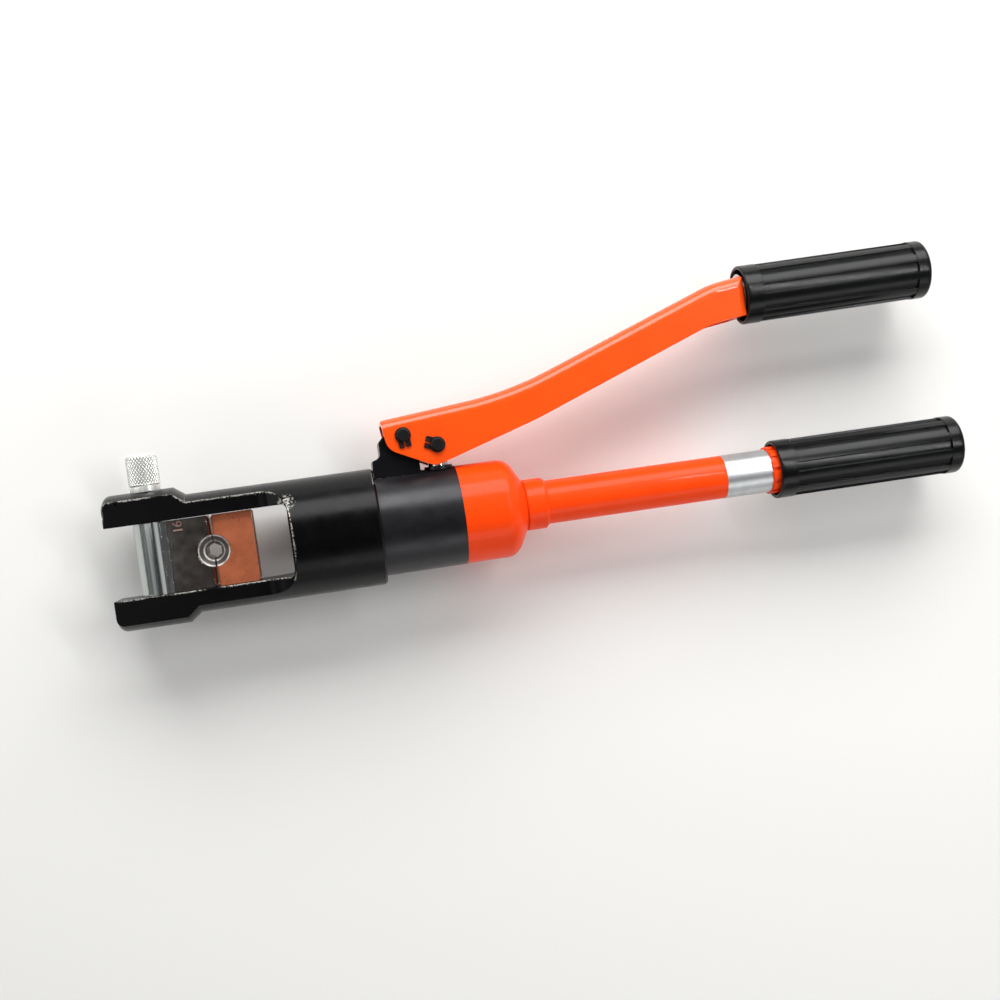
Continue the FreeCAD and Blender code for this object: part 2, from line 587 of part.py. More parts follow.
def die(side, back_x, bevel):
    """One die. side is -1 for the upper die on the anvil and 1 for the lower die."""
    face_x = side * DIE_GAP / 2
    body = block(min(face_x, back_x), max(face_x, back_x), -DIE_HALF_WIDTH, DIE_HALF_WIDTH,
                 -DIE_HALF_THICKNESS, DIE_HALF_THICKNESS)
    sharp = [e for e in body.Edges if abs(e.CenterOfMass.x - face_x) < 0.01]
    body = body.makeChamfer(bevel, sharp)
    return body.cut(crimp_cutter(side))


def upper_die():
    tongue = block(-UPPER_DIE_DEPTH - DIE_TONGUE_DEPTH, PAST - UPPER_DIE_DEPTH,
                   -DIE_HALF_WIDTH, DIE_HALF_WIDTH, -DIE_TONGUE_WIDTH / 2, DIE_TONGUE_WIDTH / 2)
    return die(-1, -UPPER_DIE_DEPTH, UPPER_DIE_CHAMFER).fuse(tongue).removeSplitter()


def lower_die():
    groove = block(LOWER_DIE_DEPTH - DIE_TONGUE_DEPTH, LOWER_DIE_DEPTH + PAST, -DIE_HALF_WIDTH - PAST,
                   DIE_HALF_WIDTH + PAST, -DIE_TONGUE_WIDTH / 2, DIE_TONGUE_WIDTH / 2)
    blank = die(1, LOWER_DIE_DEPTH, LOWER_DIE_CHAMFER)
    corners = [e for e in blank.Edges if abs(e.CenterOfMass.x - LOWER_DIE_DEPTH) < 0.01
               and abs(abs(e.CenterOfMass.y) - DIE_HALF_WIDTH) < 0.01]
    return blank.makeChamfer(DIE_BACK_CHAMFER, corners).cut(groove)


def cylinder_body():
    """The cylinder with its nose in the head, and the pump's valve block behind the bore's floor."""
    nose_x = WEB_END_X + FREE
    body = turned([
        (nose_x, CYLINDER_BORE_RADIUS), (nose_x, SKIRT_BORE_RADIUS - SEAT),
        (YOKE_END_X, SKIRT_BORE_RADIUS - SEAT), (YOKE_END_X, CYLINDER_RADIUS),
        (CYLINDER_END_X, CYLINDER_RADIUS), (CYLINDER_END_X, SPIGOT_RADIUS),
        (BLOCK_END_X, SPIGOT_RADIUS), (BLOCK_END_X, 0),
        (CYLINDER_FLOOR_X, 0), (CYLINDER_FLOOR_X, CYLINDER_BORE_RADIUS),
    ])
    flat = block(YOKE_END_X, BRACKET_FOOT_X + FOOT_ROOM, BRACKET_SEAT_Y, CYLINDER_RADIUS + PAST,
                 -CYLINDER_RADIUS, CYLINDER_RADIUS)
    return body.cut([flat] + plunger_drillings() + valve_drillings())


def plunger_drillings():
    bore = bar_y(PLUNGER_RADIUS + FIT, CHAMBER_FLOOR_Y, CYLINDER_RADIUS + PAST, PLUNGER_X)
    gland = bar_y(GLAND_RADIUS + SEAT, GLAND_FLOOR_Y - PLUNGER_SEAL_HEIGHT, CYLINDER_RADIUS + PAST, PLUNGER_X)
    spot = bar_y(GLAND_COLLAR_RADIUS + SEAT, BRACKET_SEAT_Y, CYLINDER_RADIUS + PAST, PLUNGER_X)
    return [bore, gland, spot]


def valve_drillings():
    """Ports and pockets of the outlet, inlet, relief and release valves."""
    end = BLOCK_END_X + PAST
    start = CYLINDER_FLOOR_X - PAST
    down = Vector(-INLET_WALL - INLET_PORT_OVERLAP, -INLET_Y, 0)
    return [
        bar_x(VALVE_POCKET_RADIUS, start, OUTLET_SEAT_X),
        bar_x(PORT_RADIUS, start, PLUNGER_X),
        bar_x(VALVE_POCKET_RADIUS, INLET_FLOOR_X, end, INLET_Y),
        Part.makeCylinder(PORT_RADIUS, down.Length, Vector(INLET_FLOOR_X + PAST, INLET_Y, 0), down),
        bar_x(PORT_RADIUS, start, RELIEF_SEAT_X + PAST, RELIEF_Y),
        bar_x(RELIEF_POCKET_RADIUS, RELIEF_SEAT_X, end, RELIEF_Y),
        bar_x(PORT_RADIUS, start, SPINDLE_SEAT_X + PAST + PORT_RADIUS, RELEASE_PORT_Y),
        bar_y(PORT_RADIUS, RELEASE_PORT_Y, 0, SPINDLE_SEAT_X + PAST),
        bar_x(SPINDLE_RADIUS + SEAT, SPINDLE_SEAT_X, end),
    ]


def ram():
    """The ram's rod and piston in one piece, with a groove for the seals."""
    piston_start = CYLINDER_FLOOR_X - PISTON_LENGTH
    groove_start = piston_start + PISTON_LAND
    groove_end = groove_start + SEAL_LENGTH + BACKUP_LENGTH + 3 * SEAT
    groove_radius = CYLINDER_BORE_RADIUS - SEAL_GROOVE_DEPTH
    body = turned([
        (RAM_FACE_X, 0), (RAM_FACE_X, RAM_RADIUS - RAM_CHAMFER), (RAM_FACE_X + RAM_CHAMFER, RAM_RADIUS),
        (piston_start, RAM_RADIUS), (piston_start, CYLINDER_BORE_RADIUS - FIT),
        (groove_start, CYLINDER_BORE_RADIUS - FIT), (groove_start, groove_radius),
        (groove_end, groove_radius), (groove_end, CYLINDER_BORE_RADIUS - FIT),
        (CYLINDER_FLOOR_X - FREE, CYLINDER_BORE_RADIUS - FIT), (CYLINDER_FLOOR_X - FREE, 0),
    ])
    return body.cut(bar_x(RAM_HOLE_RADIUS, RAM_FACE_X - PAST, RAM_FACE_X + RAM_HOLE_DEPTH))


def ring_in_piston(offset, length):
    """A ring in the piston's groove, this far from the groove's first wall."""
    start = CYLINDER_FLOOR_X - PISTON_LENGTH + PISTON_LAND + offset
    outside = bar_x(CYLINDER_BORE_RADIUS - THREAD, start, start + length)
    return outside.cut(bar_x(CYLINDER_BORE_RADIUS - SEAL_GROOVE_DEPTH, start - PAST, start + length + PAST))


def piston_seal():
    return ring_in_piston(SEAT, SEAL_LENGTH)


def piston_backup_ring():
    return ring_in_piston(2 * SEAT + SEAL_LENGTH, BACKUP_LENGTH)


def ram_return_spring():
    middle = (RAM_RADIUS + CYLINDER_BORE_RADIUS) / 2
    end = CYLINDER_FLOOR_X - PISTON_LENGTH - SEAT
    return coil_x(middle, SPRING_WIRE, WEB_END_X + SEAT, end, SPRING_TURNS)


def lever_bracket():
    """The lug on the cylinder that carries the lever's pivot, with a stepped heel and a round eye."""
    eye = BRACKET_EYE_RADIUS
    slant = eye / math.sqrt(2)
    heel_y = BRACKET_SEAT_Y + HEEL_HEIGHT
    shoulder_y = PIVOT_Y - SHOULDER_DROP
    web = plate([
        (YOKE_END_X + SEAT, BRACKET_SEAT_Y, 0), (YOKE_END_X + SEAT + HEEL_LEAN, heel_y, HEEL_ROUND),
        (SHOULDER_X, heel_y + HEEL_RISE, HEEL_FILLET), (SHOULDER_X, shoulder_y, SHOULDER_ROUND),
        (SHOULDER_X + SHOULDER_CUT, shoulder_y + SHOULDER_CUT, SHOULDER_BREAK),
        (PIVOT_X - slant, PIVOT_Y + slant, 0), (PIVOT_X, PIVOT_Y + eye, 0), (PIVOT_X + eye, PIVOT_Y, 0),
        (BRACKET_FOOT_X, BRACKET_SEAT_Y + FOOT_HEIGHT, FOOT_ROUND), (BRACKET_FOOT_X, BRACKET_SEAT_Y, 0),
    ], BRACKET_HALF)
    lug = web.fuse(bar_z(eye, -BRACKET_HALF, BRACKET_HALF, PIVOT_X, PIVOT_Y)).removeSplitter()
    return lug.cut(bar_z(PIN_RADIUS + FIT, -BRACKET_HALF - PAST, BRACKET_HALF + PAST, PIVOT_X, PIVOT_Y))


def lever_pin(x, y):
    """A pin through both plates of the lever, with a clip groove and a small chamfer at each end."""
    half = LEVER_HALF + PIN_STICK_OUT
    pin = bar_z(PIN_RADIUS, -half, half, x, y)
    ends = [e for e in pin.Edges if abs(abs(e.CenterOfMass.z) - half) < 0.01]
    pin = pin.makeChamfer(PIN_CHAMFER, ends)
    for side in (1, -1):
        middle = side * (LEVER_HALF + SEAT + CLIP_THICKNESS / 2)
        low, high = middle - CLIP_THICKNESS / 2 - FIT, middle + CLIP_THICKNESS / 2 + FIT
        core = bar_z(PIN_RADIUS - CLIP_GROOVE_DEPTH, low, high, x, y)
        ring = bar_z(PIN_RADIUS + PAST, low, high, x, y).cut(core)
        pin = pin.cut(ring)
    return pin


def clip(x, y, side, opening_deg):
    """A snap ring against one plate of the lever: an open ring with two drilled lugs at its mouth."""
    low = LEVER_HALF + SEAT
    high = low + CLIP_THICKNESS
    reach = PIN_RADIUS + CLIP_LUG_REACH
    spread = CLIP_LUG_WIDTH + CLIP_MOUTH / 2
    lugs = block(0, reach, -spread, spread, low, high)
    corners = [e for e in lugs.Edges if e.BoundBox.XMin > reach - 0.01 and e.Length < spread]
    lugs = lugs.makeFillet(CLIP_RIM, corners)
    cuts = [block(0, reach + PAST, -CLIP_MOUTH / 2, CLIP_MOUTH / 2, low - PAST, high + PAST),
            bar_z(PIN_RADIUS - CLIP_GROOVE_DEPTH + SEAT, low - PAST, high + PAST)]
    for k in (1, -1):
        eye_x = (CLIP_RADIUS + reach) / 2
        cuts.append(bar_z(CLIP_EYE_RADIUS, low - PAST, high + PAST, eye_x, k * spread / 2))
    ring = bar_z(CLIP_RADIUS, low, high).fuse(lugs).removeSplitter().cut(cuts)
    ring.rotate(Vector(0, 0, 0), Vector(0, 0, 1), opening_deg)
    ring.translate(Vector(x, y, 0))
    if side < 0:
        ring = ring.mirror(Vector(0, 0, 0), Vector(0, 0, 1))
    return ring


def e_clips():
    clips = []
    for side in (1, -1):
        clips.append(clip(PIVOT_X, PIVOT_Y, side, PIVOT_CLIP_DEG))
        clips.append(clip(PLUNGER_X, CRANK_Y, side, CRANK_CLIP_DEG))
    return Part.makeCompound(clips)


def pump_plunger():
    """The plunger with its flat head; the long slot lets the lever's pin swing in an arc."""
    rise = PLUNGER_SLOT_RISE
    base = CRANK_Y - rise - PLUNGER_EYE_WALL
    half = PLUNGER_SLOT_HALF + PLUNGER_EYE_WALL
    rod = bar_y(PLUNGER_RADIUS, PLUNGER_END_Y, base + PAST, PLUNGER_X)
    crown = CRANK_Y + rise + PLUNGER_EYE_WALL
    head = plate([(PLUNGER_X - half, base, PLUNGER_HEAD_ROUND), (PLUNGER_X + half, base, PLUNGER_HEAD_ROUND),
                  (PLUNGER_X + half, crown, PLUNGER_CROWN_ROUND),
                  (PLUNGER_X - half, crown, PLUNGER_CROWN_ROUND)], PLUNGER_HEAD_HALF)
    slot = plate([(PLUNGER_X + i * PLUNGER_SLOT_HALF, CRANK_Y + j * rise, PLUNGER_SLOT_CORNER)
                  for i, j in ((-1, -1), (1, -1), (1, 1), (-1, 1))], PLUNGER_HEAD_HALF + PAST)
    return rod.fuse(head).removeSplitter().cut(slot)


def plunger_gland():
    sleeve = bar_y(GLAND_RADIUS, GLAND_FLOOR_Y, BRACKET_SEAT_Y + PAST, PLUNGER_X)
    collar = bar_y(GLAND_COLLAR_RADIUS, BRACKET_SEAT_Y, BRACKET_SEAT_Y + GLAND_COLLAR_HEIGHT, PLUNGER_X)
    top = BRACKET_SEAT_Y + GLAND_COLLAR_HEIGHT
    bore = bar_y(PLUNGER_RADIUS + FIT, GLAND_FLOOR_Y - PAST, top + PAST, PLUNGER_X)
    return sleeve.fuse(collar).removeSplitter().cut(bore)


def plunger_seal():
    start = GLAND_FLOOR_Y - PLUNGER_SEAL_HEIGHT
    ring = bar_y(GLAND_RADIUS, start, GLAND_FLOOR_Y, PLUNGER_X)
    return ring.cut(bar_y(PLUNGER_RADIUS + FIT, start - PAST, GLAND_FLOOR_Y + PAST, PLUNGER_X))


def ball_centre(seat_x, radius, side):
    """Where a ball of this radius rests on the edge of a port; side -1 puts it before the seat."""
    return seat_x + side * math.sqrt(radius ** 2 - PORT_RADIUS ** 2)


def check_valve_balls():
    outlet = Part.makeSphere(BALL_RADIUS, Vector(ball_centre(OUTLET_SEAT_X, BALL_RADIUS, -1), 0, 0))
    inlet = Part.makeSphere(BALL_RADIUS, Vector(ball_centre(INLET_SEAT_X, BALL_RADIUS, -1), INLET_Y, 0))
    return Part.makeCompound([outlet, inlet])


def check_valve_springs():
    outlet_ball = ball_centre(OUTLET_SEAT_X, BALL_RADIUS, -1) - BALL_RADIUS
    inlet_ball = ball_centre(INLET_SEAT_X, BALL_RADIUS, -1) - BALL_RADIUS
    outlet = coil_x(VALVE_COIL_RADIUS, VALVE_WIRE, CYLINDER_FLOOR_X + RETAINER_LENGTH, outlet_ball, 2.0)
    inlet = coil_x(VALVE_COIL_RADIUS, VALVE_WIRE, INLET_FLOOR_X, inlet_ball, 1.5, INLET_Y)
    return Part.makeCompound([outlet, inlet])


def outlet_valve_retainer():
    end = CYLINDER_FLOOR_X + RETAINER_LENGTH
    ring = bar_x(VALVE_POCKET_RADIUS - THREAD, CYLINDER_FLOOR_X, end)
    return ring.cut(bar_x(PORT_RADIUS, CYLINDER_FLOOR_X - PAST, end + PAST))


def inlet_valve_seat():
    end = BLOCK_END_X - PLUG_SUNK
    plug = bar_x(VALVE_POCKET_RADIUS - THREAD, INLET_SEAT_X, end, INLET_Y)
    return plug.cut(bar_x(PORT_RADIUS, INLET_SEAT_X - PAST, end + PAST, INLET_Y))


def relief_ball():
    centre = ball_centre(RELIEF_SEAT_X, RELIEF_BALL_RADIUS, 1)
    return Part.makeSphere(RELIEF_BALL_RADIUS, Vector(centre, RELIEF_Y, 0))


def relief_screw_start():
    return BLOCK_END_X - PLUG_SUNK - RELIEF_SCREW_LENGTH


def relief_spring():
    start = ball_centre(RELIEF_SEAT_X, RELIEF_BALL_RADIUS, 1) + RELIEF_BALL_RADIUS
    return coil_x(RELIEF_COIL_RADIUS, RELIEF_WIRE, start, relief_screw_start(), 4.5, RELIEF_Y)


def relief_screw():
    start = relief_screw_start()
    screw = bar_x(RELIEF_POCKET_RADIUS - THREAD, start, start + RELIEF_SCREW_LENGTH, RELIEF_Y)
    socket = hexagon_bar(RELIEF_SOCKET, RELIEF_SOCKET_DEPTH + PAST)
    socket.rotate(Vector(0, 0, 0), Vector(0, 1, 0), 90)
    socket.translate(Vector(start + RELIEF_SCREW_LENGTH - RELIEF_SOCKET_DEPTH, RELIEF_Y, 0))
    return screw.cut(socket)


def release_spindle():
    """The screw that the turning handle works: its cone opens the way back to the reservoir."""
    cone_start = SPINDLE_SEAT_X + FREE
    shank_start = BLOCK_END_X + SPINDLE_STEP
    end = HUB_X + HUB_LENGTH
    return turned([
        (cone_start, 0), (cone_start, PORT_RADIUS), (cone_start + SPINDLE_CONE, SPINDLE_RADIUS),
        (shank_start, SPINDLE_RADIUS), (shank_start, SPINDLE_SHANK_RADIUS),
        (end, SPINDLE_SHANK_RADIUS), (end, 0),
    ])


def reservoir_housing():
    """The bell-shaped housing behind the pump block, with a rounded shoulder and a neck bore."""
    centre_r = HOUSING_RADIUS - HOUSING_SHOULDER_RADIUS
    half = HOUSING_SLOPE / 2
    arc_end = Vector(HOUSING_ARC_X, HOUSING_ARC_R, 0)
    arc_middle = Vector(HOUSING_SHOULDER_X + HOUSING_SHOULDER_RADIUS * math.sin(half),
                        centre_r + HOUSING_SHOULDER_RADIUS * math.cos(half), 0)
    neck_r = TUBE_RADIUS + SEAT
    inner_r = SPIGOT_RADIUS + SEAT
    points = [(HOUSING_END_X, HOUSING_MOUTH_RADIUS), (HOUSING_END_X, neck_r), (NECK_FLOOR_X, neck_r),
              (NECK_FLOOR_X, NUT_RADIUS + NUT_ROOM), (BLOCK_END_X + TAPER_LENGTH, inner_r - TAPER_STEP),
              (BLOCK_END_X, inner_r), (CYLINDER_END_X, inner_r), (CYLINDER_END_X, HOUSING_RADIUS)]
    corners = [Vector(x, r, 0) for x, r in points]
    edges = [Part.LineSegment(a, b).toShape() for a, b in zip(corners, corners[1:])]
    start = Vector(HOUSING_SHOULDER_X, HOUSING_RADIUS, 0)
    edges.append(Part.LineSegment(corners[-1], start).toShape())
    edges.append(Part.Arc(start, arc_middle, arc_end).toShape())
    edges.append(Part.LineSegment(arc_end, corners[0]).toShape())
    return Part.Face(Part.Wire(edges)).revolve(Vector(0, 0, 0), Vector(1, 0, 0), 360)


def handle_tube():
    """The handle tube with its collar, a neck that turns in the housing and a hub for the spindle."""
    hub_end = HUB_X + HUB_LENGTH
    collar_end = HUB_X + COLLAR_LENGTH
    inner = TUBE_RADIUS - TUBE_WALL
    neck_start = NECK_FLOOR_X - NUT_LENGTH - SEAT
    tube = turned([
        (neck_start, inner), (neck_start, TUBE_RADIUS), (HUB_X, TUBE_RADIUS),
        (HUB_X, COLLAR_RADIUS - COLLAR_CHAMFER), (HUB_X + COLLAR_CHAMFER, COLLAR_RADIUS),
        (collar_end - COLLAR_ROUND, COLLAR_RADIUS),
        (collar_end, COLLAR_RADIUS - COLLAR_ROUND), (collar_end, TUBE_RADIUS), (TUBE_END_X, TUBE_RADIUS),
        (TUBE_END_X, inner), (hub_end, inner), (hub_end, SPINDLE_SHANK_RADIUS), (HUB_X, SPINDLE_SHANK_RADIUS),
        (HUB_X, inner),
    ])
    circle = (inner + SPINDLE_SHANK_RADIUS) / 2
    ways = []
    for k in range(OIL_WAYS):
        angle = 2 * math.pi * (k + 0.5) / OIL_WAYS
        y, z = circle * math.cos(angle), circle * math.sin(angle)
        ways.append(bar_x(OIL_WAY_RADIUS, HUB_X - PAST, hub_end + PAST, y, z))
    return tube.cut(ways + [o_ring(FIT)])


def o_ring(grow=0.0):
    """The square ring that seals the handle's neck; grown a little, it is the groove for it."""
    middle = (NECK_FLOOR_X + HOUSING_END_X) / 2
    half = O_RING_HALF + grow
    outside = bar_x(TUBE_RADIUS + SEAT - FIT + grow, middle - half, middle + half)
    return outside.cut(bar_x(TUBE_RADIUS - O_RING_DEPTH, middle - half - PAST, middle + half + PAST))


def handle_retaining_nut():
    start = NECK_FLOOR_X - NUT_LENGTH - SEAT
    nut = bar_x(NUT_RADIUS, start, start + NUT_LENGTH).cut(bar_x(TUBE_RADIUS, start - PAST, NECK_FLOOR_X))
    slots = []
    for k in range(NUT_SLOTS):
        slot = block(start - PAST, start + NUT_SLOT_DEPTH, -NUT_SLOT_WIDTH / 2, NUT_SLOT_WIDTH / 2,
                     TUBE_RADIUS + PAST, NUT_RADIUS + PAST)
        slot.rotate(Vector(0, 0, 0), Vector(1, 0, 0), 360.0 / NUT_SLOTS * k)
        slots.append(slot)
    return nut.cut(slots)


def oil_bladder():
    """The rubber bag in the handle tube, open towards the hub and round at its far end."""
    start = HUB_X + HUB_LENGTH
    radius = TUBE_RADIUS - TUBE_WALL - SEAT
    outside = bar_x(radius, start, BLADDER_END_X - radius).fuse(
        Part.makeSphere(radius, Vector(BLADDER_END_X - radius, 0, 0))).removeSplitter()
    inner = radius - BLADDER_WALL
    hollow = bar_x(inner, start - PAST, BLADDER_END_X - radius).fuse(
        Part.makeSphere(inner, Vector(BLADDER_END_X - radius, 0, 0))).removeSplitter()
    return outside.cut(hollow)


def tube_end_plug():
    return bar_x(TUBE_RADIUS - TUBE_WALL - FIT, TUBE_END_X - PLUG_LENGTH, TUBE_END_X)


def grip_lock_ring():
    """The toothed ring on the handle tube at the mouth of the grip."""
    end = RING_START_X + RING_LENGTH
    cuts = [bar_x(TUBE_RADIUS + THREAD, RING_START_X - PAST, end + PAST)]
    for k in range(RING_TEETH):
        notch = block(RING_START_X - PAST, end + PAST, -RING_NOTCH_WIDTH / 2, RING_NOTCH_WIDTH / 2,
                      RING_RADIUS - RING_NOTCH_DEPTH, RING_RADIUS + PAST)
        notch.rotate(Vector(0, 0, 0), Vector(1, 0, 0), 360.0 / RING_TEETH * k)
        cuts.append(notch)
    return bar_x(RING_RADIUS, RING_START_X, end).cut(cuts)


def foil_band():
    start = RING_START_X - BAND_LENGTH
    outside = bar_x(TUBE_RADIUS + BAND_THICKNESS, start, RING_START_X - SEAT)
    return outside.cut(bar_x(TUBE_RADIUS + THREAD, start - PAST, RING_START_X))


def grip():
    """A grip along X from its mouth at x = 0: a flange at each end and a ring of long grooves."""
    outside = bar_x(GRIP_RADIUS, 0, GRIP_LENGTH)
    far = [e for e in outside.Edges if abs(e.CenterOfMass.x - GRIP_LENGTH) < 0.01]
    outside = outside.makeFillet(GRIP_EDGE_ROUND, far)
    near = [e for e in outside.Edges if abs(e.CenterOfMass.x) < 0.01]
    outside = outside.makeFillet(GRIP_MOUTH_ROUND, near)
    cuts = [bar_x(TUBE_RADIUS + THREAD, -1, GRIP_LENGTH - GRIP_END_WALL),
            bar_x(GRIP_MOUTH_RADIUS, -1, GRIP_MOUTH_DEPTH)]
    for k in range(GRIP_GROOVES):
        groove = block(GRIP_FRONT_FLANGE, GRIP_LENGTH - GRIP_REAR_FLANGE, -GRIP_GROOVE_WIDTH / 2,
                       GRIP_GROOVE_WIDTH / 2, GRIP_RADIUS - GRIP_GROOVE_DEPTH, GRIP_RADIUS + PAST)
        groove.rotate(Vector(0, 0, 0), Vector(1, 0, 0), 360.0 / GRIP_GROOVES * (k + 0.5))
        cuts.append(groove)
    return outside.cut(cuts)


def lower_grip():
    shape = grip()
    shape.translate(Vector(GRIP_START_X, 0, 0))
    return shape


def tilt_to_upper_grip(shape):
    """Moves a shape that lies along the X axis from x = 0 onto the upper grip's axis."""
    shape.rotate(Vector(0, 0, 0), Vector(0, 0, 1), UPPER_GRIP_TILT_DEG)
    shape.translate(Vector(UPPER_GRIP_X, UPPER_GRIP_Y, 0))
    return shape


def upper_grip():
    return tilt_to_upper_grip(grip())


def lever_tube():
    """The tube that carries the upper grip, welded to the channel's end."""
    end = GRIP_LENGTH - GRIP_END_WALL - LEVER_TUBE_SHORT
    start = LEVER_TUBE_GAP - UPPER_GRIP_SHIFT
    tube = bar_x(TUBE_RADIUS, start, end).cut(bar_x(TUBE_RADIUS - TUBE_WALL, start - PAST, end + PAST))
    return tilt_to_upper_grip(tube)


def lever_channel():
    """The pressed channel: a web bent round into two plates, open in front and below, closed at the grip."""
    outline = LEVER_TOP[::-1] + LEVER_BOTTOM[::-1]
    sharp = [(x, y, 0.0 if (x, y, r) == LEVER_TOP[0] else r) for x, y, r in outline]
    blank = plate(sharp, LEVER_HALF)
    blank = blank.makeFillet(LEVER_EDGE_ROUND, top_edges(blank, LEVER_TOP, LEVER_HALF))
    blank = blank.common(plate(outline, LEVER_HALF + PAST))
    channel = blank.cut([channel_hollow()] + [end_bevel(side) for side in (1, -1)])
    channel.translate(Vector(PIVOT_X, PIVOT_Y, 0))
    holes = [bar_z(PIN_RADIUS + FIT, -LEVER_HALF - PAST, LEVER_HALF + PAST, x, y)
             for x, y in ((PIVOT_X, PIVOT_Y), (PLUNGER_X, CRANK_Y))]
    return channel.cut(holes)


def channel_hollow():
    """The space between the channel's plates, run out through its open front and its open side."""
    ceiling = channel_ceiling()
    floor_y = min(y for _, y, _ in LEVER_BOTTOM) - LEVER_MOUTH_OVERRUN
    half = LEVER_HALF - LEVER_WALL
    hollow = plate(ceiling[::-1] + [(ceiling[0][0], floor_y, 0), (ceiling[-1][0], floor_y, 0)], half)
    return hollow.makeFillet(LEVER_EDGE_ROUND - LEVER_WALL, top_edges(hollow, ceiling, half))


def channel_ceiling():
    """The under side of the channel's web, from past its open front end to its end wall."""
    first, second, last, end = LEVER_TOP[0], LEVER_TOP[1], LEVER_TOP[-2], LEVER_TOP[-1]
    middle_slope = math.atan2(last[1] - second[1], last[0] - second[0])
    drop = LEVER_WALL / math.cos(middle_slope / 2)
    front_slope = (second[1] - first[1]) / (second[0] - first[0])
    end_slope = (end[1] - last[1]) / (end[0] - last[0])
    over = LEVER_MOUTH_OVERRUN
    return ([(first[0] - over, first[1] - drop - front_slope * over, 0)]
            + [(x, y - drop, r) for x, y, r in LEVER_TOP[1:-1]]
            + [(end[0] - LEVER_END_WALL, end[1] - drop - end_slope * LEVER_END_WALL, 0)])


def top_edges(solid, corners, half):
    """The edges of a plate that lie along the upper side of its outline, on both faces."""
    chosen = []
    for edge in solid.Edges:
        middle = edge.valueAt((edge.FirstParameter + edge.LastParameter) / 2)
        if abs(abs(middle.z) - half) > 0.01:
            continue
        for (x0, y0, _), (x1, y1, _) in zip(corners, corners[1:]):
            if x0 - 0.01 <= middle.x <= x1 + 0.01:
                level = y0 + (y1 - y0) * (middle.x - x0) / (x1 - x0)
                if middle.y > level - LEVER_WALL:
                    chosen.append(edge)
                break
    return chosen


def end_bevel(side):
    """The wedge that bevels the channel's closed end on one side."""
    end = LEVER_TOP[-1][0]
    low, high = LEVER_BOTTOM[-1][1], LEVER_TOP[-1][1]
    outer = LEVER_HALF + LEVER_BEVEL
    slope = LEVER_BEVEL / LEVER_BEVEL_LENGTH
    points = [(end - LEVER_BEVEL_LENGTH, LEVER_HALF), (end + PAST, LEVER_HALF - LEVER_BEVEL - slope * PAST),
              (end + PAST, outer), (end - LEVER_BEVEL_LENGTH, outer)]
    corners = [Vector(x, low, z) for x, z in points]
    wedge = Part.Face(Part.makePolygon(corners + corners[:1])).extrude(Vector(0, 2 * (high - low), 0))
    if side < 0:
        wedge = wedge.mirror(Vector(0, 0, 0), Vector(0, 0, 1))
    return wedge


NODES = {
    "yoke_head": yoke_head, "yoke_lock_screw": lock_screw, "anvil": anvil, "upper_die": upper_die,
    "latch_detent_ball": detent_ball, "latch_detent_spring": detent_spring,
    "latch_detent_screw": detent_screw,
    "latch_pin": latch_pin, "latch_knob": latch_knob, "lower_die": lower_die,
    "cylinder_body": cylinder_body, "ram": ram,
    "piston_seal": piston_seal, "piston_backup_ring": piston_backup_ring,
    "rod_wiper": lambda: wiper_ring(RAM_RADIUS + FIT), "ram_return_spring": ram_return_spring,
    "lever_bracket": lever_bracket, "lever_pivot_pin": lambda: lever_pin(PIVOT_X, PIVOT_Y),
    "plunger_pin": lambda: lever_pin(PLUNGER_X, CRANK_Y), "e_clips": e_clips,
    "pump_plunger": pump_plunger, "plunger_gland": plunger_gland, "plunger_seal": plunger_seal,
    "check_valve_balls": check_valve_balls, "check_valve_springs": check_valve_springs,
    "outlet_valve_retainer": outlet_valve_retainer, "inlet_valve_seat": inlet_valve_seat,
    "relief_ball": relief_ball, "relief_spring": relief_spring, "relief_screw": relief_screw,
    "release_spindle": release_spindle, "reservoir_housing": reservoir_housing, "handle_tube": handle_tube,
    "handle_o_ring": o_ring, "handle_retaining_nut": handle_retaining_nut, "oil_bladder": oil_bladder,
    "tube_end_plug": tube_end_plug, "grip_lock_ring": grip_lock_ring, "foil_band": foil_band,
    "lower_grip": lower_grip, "lever_channel": lever_channel, "lever_tube": lever_tube,
    "upper_grip": upper_grip,
}


def resting_shift():
    """The move from the crimp centre to the middle of the floor under the tool."""
    tilt = math.radians(UPPER_GRIP_TILT_DEG)
    grip_top = UPPER_GRIP_Y + GRIP_RADIUS * math.cos(tilt)
    highest = grip_top + (GRIP_LENGTH - GRIP_EDGE_ROUND) * math.sin(tilt)
    x_middle = (TIP_X + GRIP_START_X + GRIP_LENGTH) / 2
    y_middle = (highest - BOSS_RADIUS) / 2
    return Vector(-x_middle, -y_middle, YOKE_RADIUS)


def main():
    os.makedirs("parts", exist_ok=True)
    shift = resting_shift()
    print("shift", shift)
    for name, make in NODES.items():
        shape = make()
        shape.translate(shift)
        solids = len(shape.Solids)
        print(name, "solids", solids, "valid", shape.isValid(), "volume", round(shape.Volume, 1))
        shape.exportStep(f"parts/{name}.step")


main()
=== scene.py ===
"""The looks of a hand-pumped hydraulic crimping tool, laid out as an add-on and run as a script.

Each operator finishes one group of pieces: it gives the pieces that come with the frame their materials and
makes the ones that need a finer form. All sizes are in metres unless a name says otherwise.
"""
import math

import bmesh
import bpy
import numpy as np
from bpy.props import FloatProperty, FloatVectorProperty, IntProperty, PointerProperty, StringProperty
from bpy.types import Operator, Panel, PropertyGroup
from mathutils import Matrix, Vector


